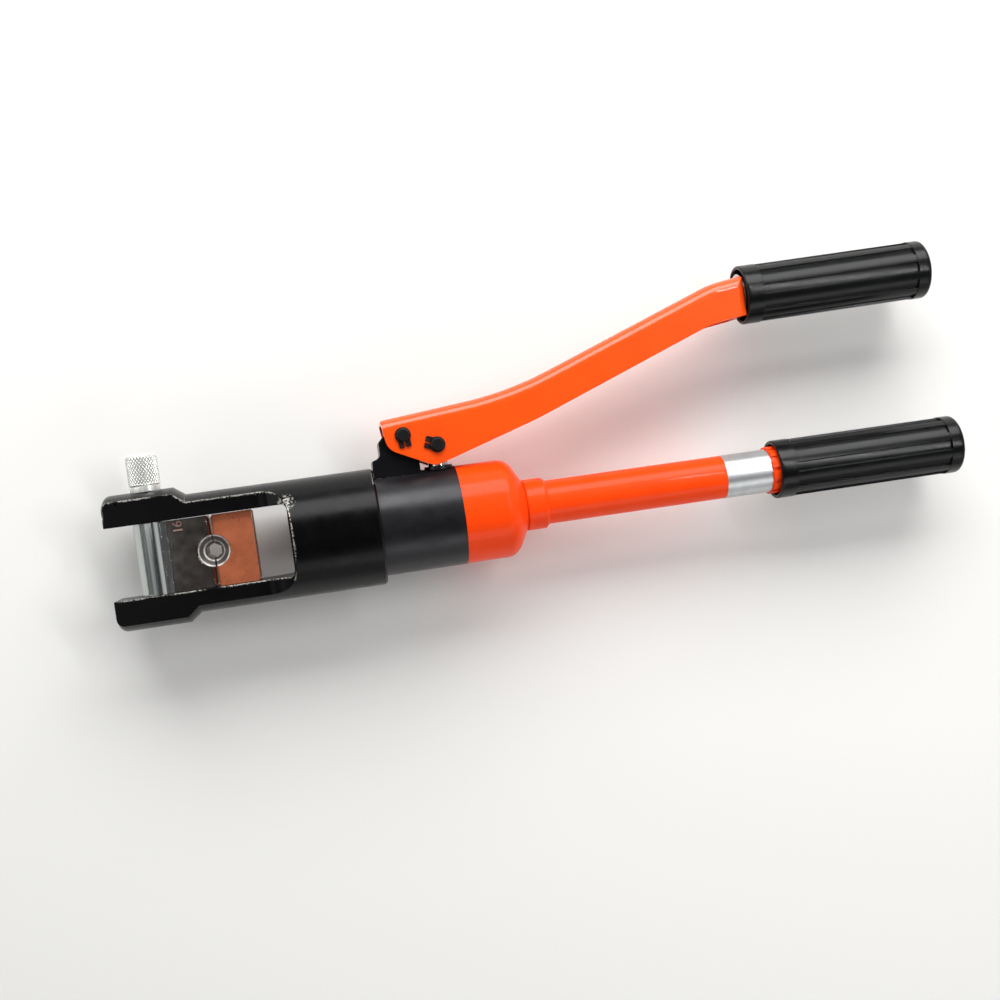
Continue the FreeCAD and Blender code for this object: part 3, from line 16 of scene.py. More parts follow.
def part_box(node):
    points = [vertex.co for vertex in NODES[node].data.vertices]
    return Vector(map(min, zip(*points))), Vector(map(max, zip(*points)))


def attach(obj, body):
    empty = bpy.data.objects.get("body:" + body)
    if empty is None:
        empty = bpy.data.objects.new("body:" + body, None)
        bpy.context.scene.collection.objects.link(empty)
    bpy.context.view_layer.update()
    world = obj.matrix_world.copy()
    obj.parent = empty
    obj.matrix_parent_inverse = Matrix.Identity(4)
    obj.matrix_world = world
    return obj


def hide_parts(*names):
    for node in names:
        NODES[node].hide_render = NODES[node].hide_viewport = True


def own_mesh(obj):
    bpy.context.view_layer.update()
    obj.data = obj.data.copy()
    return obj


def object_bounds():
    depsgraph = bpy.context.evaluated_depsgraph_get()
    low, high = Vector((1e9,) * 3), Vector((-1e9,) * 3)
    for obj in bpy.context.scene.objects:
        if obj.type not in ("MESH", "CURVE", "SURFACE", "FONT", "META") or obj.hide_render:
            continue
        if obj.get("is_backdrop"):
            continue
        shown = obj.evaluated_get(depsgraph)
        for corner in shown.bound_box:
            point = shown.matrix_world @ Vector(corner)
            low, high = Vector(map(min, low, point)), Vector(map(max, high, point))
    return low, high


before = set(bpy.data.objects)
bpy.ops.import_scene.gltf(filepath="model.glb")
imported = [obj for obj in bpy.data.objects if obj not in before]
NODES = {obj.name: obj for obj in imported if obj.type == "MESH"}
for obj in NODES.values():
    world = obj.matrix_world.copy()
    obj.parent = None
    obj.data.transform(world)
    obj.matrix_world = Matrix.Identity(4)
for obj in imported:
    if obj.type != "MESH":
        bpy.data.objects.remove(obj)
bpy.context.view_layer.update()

bl_info = {
    "name": "Hydraulic Crimping Tool",
    "version": (1, 0, 0),
    "blender": (4, 5, 0),
    "location": "View3D > Sidebar > Crimping Tool",
    "description": "Finishes, knurled knob, engraved die, grips and studio of a hydraulic crimping tool",
    "category": "Object",
}

MM = 0.001


def linear(hex_colour):
    """An sRGB hex colour as linear red, green, blue and alpha."""
    parts = [int(hex_colour[i:i + 2], 16) / 255 for i in (1, 3, 5)]
    return tuple(c / 12.92 if c <= 0.04045 else ((c + 0.055) / 1.055) ** 2.4 for c in parts) + (1.0,)


def colour_property(name, description, hex_colour):
    """A colour that the user can change, with its default as sRGB hex."""
    return FloatVectorProperty(name=name, description=description, subtype="COLOR", size=4, min=0.0, max=1.0,
                               default=linear(hex_colour))


def length_property(name, description, metres):
    """A length that the user can change."""
    return FloatProperty(name=name, description=description, subtype="DISTANCE", unit="LENGTH", min=0.0,
                         precision=5, default=metres)


class CrimperColours(PropertyGroup):
    """The colours that a user would change."""
    black: colour_property("Black enamel", "Stoved enamel of the head and the bracket", "#060607")
    bare: colour_property("Bare steel", "Steel that shows where the enamel has worn off", "#C9C5BD")
    cylinder: colour_property("Cylinder", "Black oxide of the ground cylinder", "#1B191D")
    orange: colour_property("Orange", "Powder coat of the housing and the handle", "#FF480D")
    lever: colour_property("Lever orange", "Powder coat of the lever", "#FC5210")
    die_dark: colour_property("Upper die", "Bright plating of the die on the anvil", "#A39C94")
    die_warm: colour_property("Lower die", "Tarnished plating of the die by the handles", "#BC6845")
    chrome: colour_property("Chrome", "Hard chrome of the anvil", "#B4B9B6")
    nickel: colour_property("Nickel", "Satin nickel of the knob", "#EAEAE6")
    grip: colour_property("Grip", "Moulded plastic of the grips", "#090A0A")
    foil: colour_property("Foil", "Aluminium foil band on the handle", "#C6C8C9")
    floor: colour_property("Floor", "Pale floor under the tool", "#ECEBE8")


class CrimperSizes(PropertyGroup):
    """The sizes that a user would change."""
    knurl_pitch: length_property("Knurl pitch", "From one diamond of the knob to the next", 2.0 * MM)
    knurl_depth: length_property("Knurl depth", "Height of the knob's diamonds", 0.55 * MM)
    grip_grooves: IntProperty(name="Grip grooves", description="Long grooves of each grip", min=3, default=10)
    groove_width: length_property("Groove width", "Width of one groove of a grip", 6.0 * MM)
    groove_depth: length_property("Groove depth", "Depth of one groove of a grip", 1.7 * MM)
    rib_drop: length_property("Rib drop", "How far a grip's ribs lie below its two collars", 0.35 * MM)
    edge_wear: length_property("Edge wear", "How far bare steel reaches in from a worn edge", 2.0 * MM)
    digit_height: length_property("Digit height", "Height of the size number on the upper die", 5.8 * MM)
    ram_travel: length_property("Ram travel", "How far the ram, and so the return spring, moves", 20.0 * MM)
    size_number: StringProperty(name="Size number", description="Cable size engraved on the die", default="16")


def settings():
    """The colours and the sizes of this scene."""
    scene = bpy.context.scene
    return scene.crimper_colours, scene.crimper_sizes


# materials

def add_node(tree, kind, options=None, **sockets):
    """A new shader node. options are its settings; a socket, by name or number (i0), gets a value or a link."""
    made = tree.nodes.new(kind)
    for name, value in (options or {}).items():
        setattr(made, name, value)
    for name, value in sockets.items():
        numbered = name[0] == "i" and name[1:].isdigit()
        socket = made.inputs[int(name[1:])] if numbered else made.inputs[name.replace("_", " ")]
        if isinstance(value, bpy.types.NodeSocket):
            tree.links.new(value, socket)
        else:
            socket.default_value = value
    return made


def start_material(name, colour, metallic, roughness):
    """A new material with one shader, and its tree, shader and Object coordinates."""
    material = bpy.data.materials.new(name)
    material.use_nodes = True
    tree = material.node_tree
    shader = tree.nodes["Principled BSDF"]
    shader.inputs["Base Color"].default_value = tuple(colour)
    shader.inputs["Metallic"].default_value = metallic
    shader.inputs["Roughness"].default_value = roughness
    place = add_node(tree, "ShaderNodeTexCoord").outputs["Object"]
    return material, tree, shader, place


def noise(tree, place, size, detail=2.0, stretch=(1, 1, 1)):
    """Noise whose features are about this size in metres, stretched along an axis by a smaller factor."""
    where = add_node(tree, "ShaderNodeMapping", Vector=place, Scale=stretch).outputs["Vector"]
    return add_node(tree, "ShaderNodeTexNoise", Vector=where, Scale=1 / size, Detail=detail).outputs["Fac"]


def remap(tree, value, low, high, to_low=0.0, to_high=1.0):
    """The value's place between low and high, put between to_low and to_high and kept there."""
    made = add_node(tree, "ShaderNodeMapRange", i0=value, i1=low, i2=high, i3=to_low, i4=to_high)
    return made.outputs["Result"]


def blend_colours(tree, amount, first, second):
    """The first colour where amount is 0 and the second where it is 1."""
    return add_node(tree, "ShaderNodeMix", {"data_type": "RGBA"}, i0=amount, i6=first, i7=second).outputs[2]


def blend_numbers(tree, amount, first, second):
    """The first number where amount is 0 and the second where it is 1."""
    return add_node(tree, "ShaderNodeMix", i0=amount, i2=first, i3=second).outputs[0]


def rounded_normal(tree, radius, bump=None):
    """A normal that softens sharp edges over this radius, over an optional bump."""
    rounded = add_node(tree, "ShaderNodeBevel", {"samples": 4}, Radius=radius)
    if bump is not None:
        tree.links.new(bump, rounded.inputs["Normal"])
    return rounded.outputs["Normal"]


def bump_normal(tree, height, depth, strength=1.0):
    """A normal for a skin whose height goes from 0 to 1 over this depth."""
    return add_node(tree, "ShaderNodeBump", Height=height, Distance=depth, Strength=strength).outputs["Normal"]


def calculate(tree, operation, first, second=0.0, third=0.0):
    """One step of arithmetic on values or links."""
    return add_node(tree, "ShaderNodeMath", {"operation": operation}, i0=first, i1=second, i2=third).outputs[0]


def times(tree, first, *factors):
    """The product of these values."""
    for factor in factors:
        first = calculate(tree, "MULTIPLY", first, factor)
    return first


def largest(tree, first, *values):
    """The largest of these values."""
    for value in values:
        first = calculate(tree, "MAXIMUM", first, value)
    return first


def edge_amount(tree, radius):
    """Near 1 within about this distance of a sharp edge, and 0 on a flat or a smooth curve."""
    rounded = add_node(tree, "ShaderNodeBevel", {"samples": 8}, Radius=radius).outputs["Normal"]
    own = add_node(tree, "ShaderNodeNewGeometry").outputs["Normal"]
    likeness = add_node(tree, "ShaderNodeVectorMath", {"operation": "DOT_PRODUCT"}, i0=rounded, i1=own)
    return remap(tree, likeness.outputs["Value"], 0.995, 0.9)


def from_point(tree, place, point):
    """The Object coordinates counted from this point."""
    options = {"operation": "SUBTRACT"}
    return add_node(tree, "ShaderNodeVectorMath", options, i0=place, i1=tuple(point)).outputs[0]


def x_y_z(tree, vector):
    """The three parts of a vector."""
    return add_node(tree, "ShaderNodeSeparateXYZ", Vector=vector).outputs


def distance_from(tree, place, point):
    """How far a place is from this point."""
    moved = from_point(tree, place, point)
    return add_node(tree, "ShaderNodeVectorMath", {"operation": "LENGTH"}, i0=moved).outputs["Value"]


def within(tree, value, low, high, soft):
    """1 between low and high, falling to 0 over a soft distance on both sides."""
    return times(tree, remap(tree, value, low - soft, low), remap(tree, value, high + soft, high))


def head_wear(tree, place):
    """Where handling rubs the head: along the outer front edge of the arm by the lever and down the end of
    the window, along the other arm's edge at the window, and in a patch at the window's corner.

    The numbers of a band are millimetres from the middle of the die opening: where it starts, where it
    ends, and how far it fades.
    """
    low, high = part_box("yoke_head")
    middle = (low + high) / 2
    opening_x = (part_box("upper_die")[1].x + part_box("lower_die")[0].x) / 2
    x, y, z = x_y_z(tree, from_point(tree, place, (opening_x, middle.y, middle.z)))

    def band(value, starts, ends, fades):
        """Within two places that are given in millimetres."""
        return within(tree, value, starts * MM, ends * MM, fades * MM)

    outer_edge = band(y, 26, 41, 1.5)
    window_end = times(tree, band(x, 43, 47, 2), band(y, -8, 30, 8))
    lower_edge = times(tree, band(y, -23, -19, 1), band(x, -52, 42, 6))
    front = remap(tree, z, 8 * MM, 14 * MM)
    detent_hole = (low.x + 8.5 * MM, middle.y + 34 * MM, middle.z + 18 * MM)
    outside_hole = remap(tree, distance_from(tree, place, detent_hole), 2.0 * MM, 2.6 * MM)
    rubbed = times(tree, largest(tree, outer_edge, window_end, lower_edge), front, outside_hole)
    corner = (opening_x + 44.5 * MM, middle.y + 20.5 * MM, middle.z + 25 * MM)
    patch = times(tree, remap(tree, distance_from(tree, place, corner), 8.0 * MM, 2.0 * MM), front)
    return calculate(tree, "MULTIPLY_ADD", rubbed, 0.9, 0.1), patch


def worn_enamel(name, enamel, bare, wear, places=None):
    """Stoved enamel on forged steel: a deep glossy black, rubbed through to bright steel along its edges.

    The rub is the nearness of an edge, times how much that place is handled, times a ragged noise.
    """
    material, tree, shader, place = start_material(name, enamel, 0.0, 0.2)
    shader.inputs["Specular IOR Level"].default_value = 0.15
    likely, patch = places(tree, place) if places else (0.3, 0.0)
    ragged = remap(tree, noise(tree, place, 1.1 * MM, 8.0), 0.36, 0.64)
    patchy = remap(tree, noise(tree, place, 14 * MM, 3.0), 0.32, 0.62, 0.15, 1.0)
    rub = times(tree, edge_amount(tree, wear), likely, patchy, ragged)
    edge_mask = remap(tree, rub, 0.14, 0.4)
    torn = remap(tree, noise(tree, place, 1.6 * MM, 7.0), 0.4, 0.6)
    patch_mask = remap(tree, times(tree, patch, torn), 0.15, 0.75, 0.0, 0.8)
    mask = largest(tree, edge_mask, patch_mask)
    tree.links.new(blend_colours(tree, mask, tuple(enamel), tuple(bare)), shader.inputs["Base Color"])
    tree.links.new(times(tree, mask, 0.35), shader.inputs["Metallic"])
    gloss = remap(tree, noise(tree, place, 9 * MM, 4.0), 0.3, 0.7, 0.2, 0.3)
    tree.links.new(blend_numbers(tree, mask, gloss, 0.45), shader.inputs["Roughness"])
    peel = bump_normal(tree, noise(tree, place, 1.4 * MM, 2.0), 0.012 * MM, 0.5)
    tree.links.new(rounded_normal(tree, 0.5 * MM, peel), shader.inputs["Normal"])
    return material


def powder_coat(name, colour, gloss):
    """Powder coat baked on steel: a bright even colour under a clear gloss of this weight, with faint orange
    peel and a cloud of slightly deeper orange."""
    material, tree, shader, place = start_material(name, colour, 0.0, 0.32)
    shader.inputs["Coat Weight"].default_value = gloss
    shader.inputs["Coat Roughness"].default_value = 0.05
    shader.inputs["Specular IOR Level"].default_value = 0.08
    deeper = tuple(c * share for c, share in zip(colour[:3], (0.88, 0.74, 0.7))) + (1.0,)
    tint = remap(tree, noise(tree, place, 18 * MM, 2.0), 0.35, 0.75, 0.0, 0.35)
    tree.links.new(blend_colours(tree, tint, tuple(colour), deeper), shader.inputs["Base Color"])
    peel = bump_normal(tree, noise(tree, place, 2.2 * MM, 2.0), 0.03 * MM, 0.6)
    tree.links.new(rounded_normal(tree, 0.6 * MM, peel), shader.inputs["Normal"])
    return material


def oxide_black(name, colour):
    """Black oxide on turned steel: a satin dark grey with fine rings from the lathe. The rings are drawn
    0.5 mm wide, coarser than real ones, because a pixel of the main view is about 0.6 mm."""
    material, tree, shader, place = start_material(name, colour, 0.35, 0.33)
    rings = noise(tree, place, 0.5 * MM, 3.0, (1.0, 0.02, 0.02))
    cloud = noise(tree, place, 12 * MM, 4.0)
    tree.links.new(remap(tree, cloud, 0.3, 0.7, 0.27, 0.4), shader.inputs["Roughness"])
    lathe = bump_normal(tree, rings, 0.006 * MM, 0.5)
    tree.links.new(rounded_normal(tree, 0.25 * MM, lathe), shader.inputs["Normal"])
    return material


def die_plating(name, colour, stain, metallic, roughness, centre):
    """Bright plating on hardened steel: faint stains and pin-head specks on the faces. In the countersink two
    bright rings are painted in as highlights, one at its edge and one round the hexagon, with a painted darker
    reflection band between."""
    material, tree, shader, place = start_material(name, colour, metallic, roughness)
    cloud = noise(tree, place, 9 * MM, 6.0)
    tint = remap(tree, cloud, 0.42, 0.68, 0.0, 0.6)
    stained = blend_colours(tree, tint, tuple(colour), tuple(stain))
    cells = add_node(tree, "ShaderNodeTexVoronoi", Vector=place, Scale=1 / (9 * MM), Randomness=1.0)
    speck = remap(tree, cells.outputs["Distance"], 0.06, 0.03, 0.0, 0.7)
    speckled = blend_colours(tree, speck, stained, linear("#B4B0AB"))
    x, y, _ = x_y_z(tree, from_point(tree, place, centre))
    away = calculate(tree, "SQRT", calculate(tree, "ADD", times(tree, x, x), times(tree, y, y)))
    countersink_radius = 9.25 * MM
    sunk = remap(tree, away, countersink_radius + 0.2 * MM, countersink_radius)
    outer_ring_highlight = within(tree, away, countersink_radius - 0.6 * MM, countersink_radius - 0.1 * MM, 0.3 * MM)
    inner_ring_highlight = within(tree, away, 5.7 * MM, 6.0 * MM, 0.5 * MM)
    broken = remap(tree, noise(tree, place, 4 * MM, 3.0), 0.36, 0.6, 0.35, 0.9)
    ring = times(tree, largest(tree, outer_ring_highlight, inner_ring_highlight), broken)
    # painted reflection: the countersink is coloured with two bright highlight rings over a darker band
    turned = blend_colours(tree, ring, linear("#6A625D"), linear("#EDECE9"))
    tree.links.new(blend_colours(tree, sunk, speckled, turned), shader.inputs["Base Color"])
    metal = blend_numbers(tree, sunk, metallic, blend_numbers(tree, ring, 0.8, 0.25))
    tree.links.new(metal, shader.inputs["Metallic"])
    haze = remap(tree, noise(tree, place, 5 * MM, 5.0), 0.3, 0.8, roughness * 0.8, roughness * 1.4)
    tree.links.new(blend_numbers(tree, sunk, haze, 0.3), shader.inputs["Roughness"])
    tree.links.new(rounded_normal(tree, 0.12 * MM), shader.inputs["Normal"])
    return material


def knurled_nickel(name, colour):
    """Satin nickel on a knurl, bright on the diamonds, with painted shade darkening the grooves in between: the
    piece's attribute groove is 0 on a diamond and 1 at the bottom."""
    material, tree, shader, place = start_material(name, colour, 0.9, 0.3)
    groove = add_node(tree, "ShaderNodeAttribute", {"attribute_name": "groove"}).outputs["Fac"]
    # painted shade: the grooves between the diamonds are coloured darker towards their bottom
    groove_shade = remap(tree, groove, 0.35, 1.0)
    tree.links.new(blend_colours(tree, groove_shade, tuple(colour), linear("#5C5A55")), shader.inputs["Base Color"])
    tree.links.new(remap(tree, groove, 0.0, 1.0, 0.6, 0.4), shader.inputs["Metallic"])
    grain = noise(tree, place, 0.4 * MM, 3.0)
    tree.links.new(remap(tree, grain, 0.25, 0.75, 0.24, 0.4), shader.inputs["Roughness"])
    tree.links.new(bump_normal(tree, grain, 0.004 * MM, 0.4), shader.inputs["Normal"])
    return material


def plain_metal(name, colour, roughness, grain=0.8 * MM, stretch=(1, 1, 1), soften=0.2 * MM):
    """Bare or plated metal with a fine grain: its roughness changes slightly from place to place. The grain is
    drawn coarser than the real one, so that it shows."""
    material, tree, shader, place = start_material(name, colour, 1.0, roughness)
    grains = noise(tree, place, grain, 4.0, stretch)
    varied = remap(tree, grains, 0.25, 0.75, roughness * 0.75, roughness * 1.3)
    tree.links.new(varied, shader.inputs["Roughness"])
    lines = bump_normal(tree, grains, 0.006 * MM, 0.4)
    tree.links.new(rounded_normal(tree, soften, lines), shader.inputs["Normal"])
    return material


def moulded_plastic(name, colour):
    """Injection-moulded plastic: a semi-gloss black with an uneven skin, drawn coarser than the real one."""
    material, tree, shader, place = start_material(name, colour, 0.0, 0.28)
    skin = noise(tree, place, 1.1 * MM, 3.0)
    cloud = noise(tree, place, 14 * MM, 3.0)
    shader.inputs["Specular IOR Level"].default_value = 0.24
    tree.links.new(remap(tree, cloud, 0.3, 0.7, 0.2, 0.27), shader.inputs["Roughness"])
    dusty = tuple(min(1.0, c * 1.6 + 0.002) for c in colour[:3]) + (1.0,)
    dust = remap(tree, cloud, 0.5, 0.8, 0.0, 0.5)
    tree.links.new(blend_colours(tree, dust, tuple(colour), dusty), shader.inputs["Base Color"])
    tree.links.new(bump_normal(tree, skin, 0.004 * MM, 0.3), shader.inputs["Normal"])
    return material


def soft_plastic(name, colour, roughness):
    """Rubber or turned plastic of the seals: matt, with a slight bloom."""
    material, tree, shader, place = start_material(name, colour, 0.0, roughness)
    cloud = noise(tree, place, 3 * MM, 4.0)
    bloom = remap(tree, cloud, 0.3, 0.7, roughness * 0.85, min(1.0, roughness * 1.15))
    tree.links.new(bloom, shader.inputs["Roughness"])
    return material


def foil_sheet(name, colour):
    """Aluminium foil stuck round a tube: satin silver with faint creases, which are also painted a greyer
    shade.
    """
    material, tree, shader, place = start_material(name, colour, 0.85, 0.35)
    creases = noise(tree, place, 5 * MM, 5.0, (1.0, 0.5, 0.5))
    # painted shade: the colour turns greyer where the creases are
    shade = remap(tree, creases, 0.35, 0.7, 0.0, 0.4)
    greyer = tuple(c * 0.72 for c in colour[:3]) + (1.0,)
    tree.links.new(blend_colours(tree, shade, tuple(colour), greyer), shader.inputs["Base Color"])
    tree.links.new(bump_normal(tree, creases, 0.03 * MM, 0.4), shader.inputs["Normal"])
    return material


def dress(material, *names):
    """Gives nodes of the frame this material."""
    for name in names:
        mesh = NODES[name].data
        mesh.materials.clear()
        mesh.materials.append(material)


# meshes

def mesh_piece(name, points, faces, material, body, sharp_degrees, groove=None):
    """A piece of the tool from points and faces, with its normals turned outwards.

    Edges that turn by more than sharp_degrees stay sharp. groove is an optional value for each point, kept as
    the attribute of that name.
    """
    mesh = bpy.data.meshes.new(name)
    mesh.from_pydata(points, [], faces)
    if groove is not None:
        depths = mesh.attributes.new("groove", "FLOAT", "POINT").data
        depths.foreach_set("value", np.ravel(groove).astype(np.float32))
    work = bmesh.new()
    work.from_mesh(mesh)
    bmesh.ops.remove_doubles(work, verts=work.verts, dist=1e-7)
    bmesh.ops.recalc_face_normals(work, faces=work.faces)
    work.to_mesh(mesh)
    work.free()
    mesh.shade_smooth()
    mesh.set_sharp_from_angle(angle=math.radians(sharp_degrees))
    mesh.materials.append(material)
    piece = bpy.data.objects.new(name, mesh)
    bpy.context.scene.collection.objects.link(piece)
    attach(piece, body)
    return piece


def ring_faces(rows, columns):
    """Quads of a surface of rows by columns points whose columns close on themselves."""
    row, column = np.meshgrid(np.arange(rows - 1), np.arange(columns), indexing="ij")
    after = (column + 1) % columns
    this_row, next_row = row * columns, (row + 1) * columns
    corners = (this_row + column, this_row + after, next_row + after, next_row + column)
    return np.stack(corners, axis=-1).reshape(-1, 4)


def smooth_step(value):
    """0 below 0, 1 above 1, and 3 v^2 - 2 v^3 between."""
    value = np.clip(value, 0.0, 1.0)
    return value * value * (3 - 2 * value)


def arc(centre, radius, start_deg, end_deg, steps):
    """Points of an arc in the (along, radius) plane; 0 degrees points along and 90 degrees outwards."""
    angle = np.radians(np.linspace(start_deg, end_deg, steps))
    return np.stack([centre[0] + radius * np.cos(angle), centre[1] + radius * np.sin(angle)], axis=-1)


def run(start, end, steps):
    """Points of a straight stretch, without its ends."""
    share = np.linspace(0, 1, steps + 2)[1:-1, None]
    return np.array(start) * (1 - share) + np.array(end) * share


def round_about(profile, angle, depth):
    """Along, across and up for a profile of (along, radius) turned round a full circle.

    Point (i, j) lies at along_i, at radius_i less depth_ij, and at the angle angle_j.
    """
    radius = profile[:, 1:] - depth
    along = np.broadcast_to(profile[:, :1], radius.shape)
    return along, radius * np.cos(angle), radius * np.sin(angle)


def in_order(*stretches):
    """One outline from its stretches and single points."""
    return np.concatenate([np.atleast_2d(np.array(s, float)) for s in stretches])


# pieces

class CRIMPER_OT_head(Operator):
    """Finish the forked head, its latch detent and the screw that locks it"""
    bl_idname = "crimper.head"
    bl_label = "Forked head"

    def execute(self, context):
        colours, sizes = settings()
        enamel = worn_enamel("stoved_enamel_on_forged_steel", colours.black, colours.bare, sizes.edge_wear,
                             head_wear)
        dress(enamel, "yoke_head")
        screw = plain_metal("black_oxide_on_screws", linear("#1A1A1C"), 0.35)
        dress(screw, "yoke_lock_screw", "latch_detent_screw")
        ball = plain_metal("hardened_steel_balls", linear("#C9C9C9"), 0.08)
        dress(ball, "latch_detent_ball", "check_valve_balls", "relief_ball")
        wire = plain_metal("drawn_spring_wire", linear("#77777B"), 0.3)
        dress(wire, "latch_detent_spring", "check_valve_springs", "relief_spring", "ram_return_spring")
        return {"FINISHED"}


def knob_profile(low, high, radius, collar_top, barrel_low, rounding):
    """The knob's outline from the middle of its under side to the middle of its top: a collar with a rounded
    lip, a shallow neck, and the barrel with its rounded top edge."""
    lip = 0.3 * MM
    collar_radius = radius - 0.25 * MM
    neck_radius = collar_radius - 0.5 * MM
    return in_order(
        (low, 0), (low, collar_radius - lip),
        arc((low + lip, collar_radius - lip), lip, 180, 90, 4),
        (collar_top - 0.05 * MM, collar_radius),
        (collar_top, neck_radius), (collar_top + 0.45 * MM, neck_radius),
        (barrel_low, radius),
        run((barrel_low, radius), (high - rounding, radius), 118),
        arc((high - rounding, radius - rounding), rounding, 90, 0, 14),
        run((high, radius - rounding), (high, 0), 3),
        (high, 0))


def knob_surface(sizes, low, high, radius):
    """The knob turned about its axis, and how deep each of its points lies in the knurl, from 0 to 1.

    The knurl is flat-topped diamonds where two sets of helical grooves cross: the larger of a triangle wave of
    angle + height and one of angle - height, cut off below a share. It fades in above the neck and out at the
    top.
    """
    collar_top = low + 3.3 * MM
    barrel_low = collar_top + 1.1 * MM
    rounding = 3.0 * MM
    profile = knob_profile(low, high, radius, collar_top, barrel_low, rounding)
    along, radii = profile[:, :1], profile[:, 1:]
    starts = round(2 * math.pi * radius / sizes.knurl_pitch)
    points_per_diamond = 12
    diamond_height = 1.35 * sizes.knurl_pitch
    turn = np.arange(starts * points_per_diamond) / points_per_diamond
    climb = along / diamond_height
    right_hand = 2 * np.abs((turn + climb) % 1 - 0.5)
    left_hand = 2 * np.abs((turn - climb) % 1 - 0.5)
    flat_share = 0.6
    groove = np.clip((np.maximum(right_hand, left_hand) - flat_share) / (1 - flat_share), 0.0, 1.0)
    above_neck = smooth_step((along - barrel_low) / (0.6 * MM))
    off_rounding = smooth_step((radii - radius + rounding) / (2.6 * MM))
    below_top = smooth_step((high - along - 0.2 * MM) / (1.6 * MM))
    groove = groove * above_neck * off_rounding * below_top
    return round_about(profile, 2 * math.pi * turn / starts, sizes.knurl_depth * groove), groove


class CRIMPER_OT_latch(Operator):
    """Make the latch pin's knob with its diamond knurl, and finish the pin"""
    bl_idname = "crimper.latch"
    bl_label = "Latch pin and knob"

    def execute(self, context):
        colours, sizes = settings()
        dress(plain_metal("ground_steel", linear("#BDBDBD"), 0.22, 0.6 * MM, (1, 0.1, 1)),
              "latch_pin", "ram", "pump_plunger", "lever_tube", "release_spindle")
        low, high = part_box("latch_knob")
        (along, across, up), groove = knob_surface(sizes, low.y, high.y, (high.x - low.x) / 2)
        middle_x, middle_z = (low.x + high.x) / 2, (low.z + high.z) / 2
        points = np.stack([middle_x + across, along, middle_z + up], axis=-1).reshape(-1, 3)
        nickel = knurled_nickel("satin_nickel_on_knurled_steel", colours.nickel)
        knob = mesh_piece("knurled_knob", points, ring_faces(*along.shape), nickel, "latch", 60,
                          groove)
        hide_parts("latch_knob")
        return {"FINISHED"}


def engraved_copy(node, name, cutter):
    """A copy of a node's mesh with its corners merged and the cutter's shape taken out of it."""
    source = NODES[node].data
    mesh = bpy.data.meshes.new(name)
    mesh.from_pydata([v.co for v in source.vertices], [], [p.vertices for p in source.polygons])
    mesh.materials.append(source.materials[0])
    work = bmesh.new()
    work.from_mesh(mesh)
    bmesh.ops.remove_doubles(work, verts=work.verts, dist=1e-7)
    work.to_mesh(mesh)
    work.free()
    piece = bpy.data.objects.new(name, mesh)
    bpy.context.scene.collection.objects.link(piece)
    engrave = piece.modifiers.new("engraving", "BOOLEAN")
    engrave.operation = "DIFFERENCE"
    engrave.solver = "EXACT"
    engrave.material_mode = "TRANSFER"
    engrave.object = cutter
    bpy.context.view_layer.update()
    engraved = bpy.data.meshes.new_from_object(piece.evaluated_get(bpy.context.evaluated_depsgraph_get()))
    piece.modifiers.clear()
    piece.data = engraved
    engraved.shade_smooth()
    engraved.set_sharp_from_angle(angle=math.radians(25))
    return piece


def number_cutter(text, height, depth, corner, turn):
    """The number's solid digits, which reach as deep below corner.z as above it and start at the corner. A
    digit is about three quarters of the font's size high."""
    curve = bpy.data.curves.new("size_number", "FONT")
    curve.body = text
    curve.size = height * 1.35
    curve.extrude = depth
    curve.offset = height * 0.012
    curve.space_character = 0.88
    letters = bpy.data.objects.new("size_number", curve)
    bpy.context.scene.collection.objects.link(letters)
    bpy.context.view_layer.update()
    mesh = bpy.data.meshes.new_from_object(letters.evaluated_get(bpy.context.evaluated_depsgraph_get()))
    bpy.data.objects.remove(letters)
    mesh.transform(Matrix.Translation(corner) @ Matrix.Rotation(turn, 4, "Z"))
    cutter = bpy.data.objects.new("size_number_cutter", mesh)
    bpy.context.scene.collection.objects.link(cutter)
    return cutter


class CRIMPER_OT_dies(Operator):
    """Finish the anvil and both dies, and engrave the size number on the upper die"""
    bl_idname = "crimper.dies"
    bl_label = "Anvil and dies"

    def execute(self, context):
        colours, sizes = settings()
        chrome = plain_metal("hard_chrome_on_anvil", colours.chrome, 0.12, 1.2 * MM, (1, 0.06, 1))
        dress(chrome, "anvil")
        low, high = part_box("upper_die")
        centre = ((high.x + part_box("lower_die")[0].x) / 2, (low.y + high.y) / 2, high.z)
        dark = die_plating("bright_plating_on_upper_die", colours.die_dark, linear("#7E7069"), metallic=1.0,
                           roughness=0.12, centre=centre)
        warm = die_plating("tarnished_plating_on_lower_die", colours.die_warm, linear("#9A5434"), metallic=0.35,
                           roughness=0.3, centre=centre)
        dress(dark, "upper_die")
        dress(warm, "lower_die")
        # the number stands this far in from the die's back, past its tongue, and from its upper edge
        back, tongue, top_inset = 2.9 * MM, 1.6 * MM, 8.0 * MM
        corner = Vector((low.x + tongue + back + sizes.digit_height, high.y - top_inset, high.z))
        cutter = number_cutter(sizes.size_number, sizes.digit_height, 0.25 * MM, corner, math.radians(90))
        cutter.data.materials.append(soft_plastic("rust_in_the_engraving", linear("#A9857A"), 0.6))
        die = engraved_copy("upper_die", "engraved_upper_die", cutter)
        bpy.data.objects.remove(cutter)
        if len(die.data.polygons) < len(NODES["upper_die"].data.polygons) // 2:
            raise RuntimeError("the number could not be cut into the upper die")
        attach(die, "frame")
        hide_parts("upper_die")
        return {"FINISHED"}


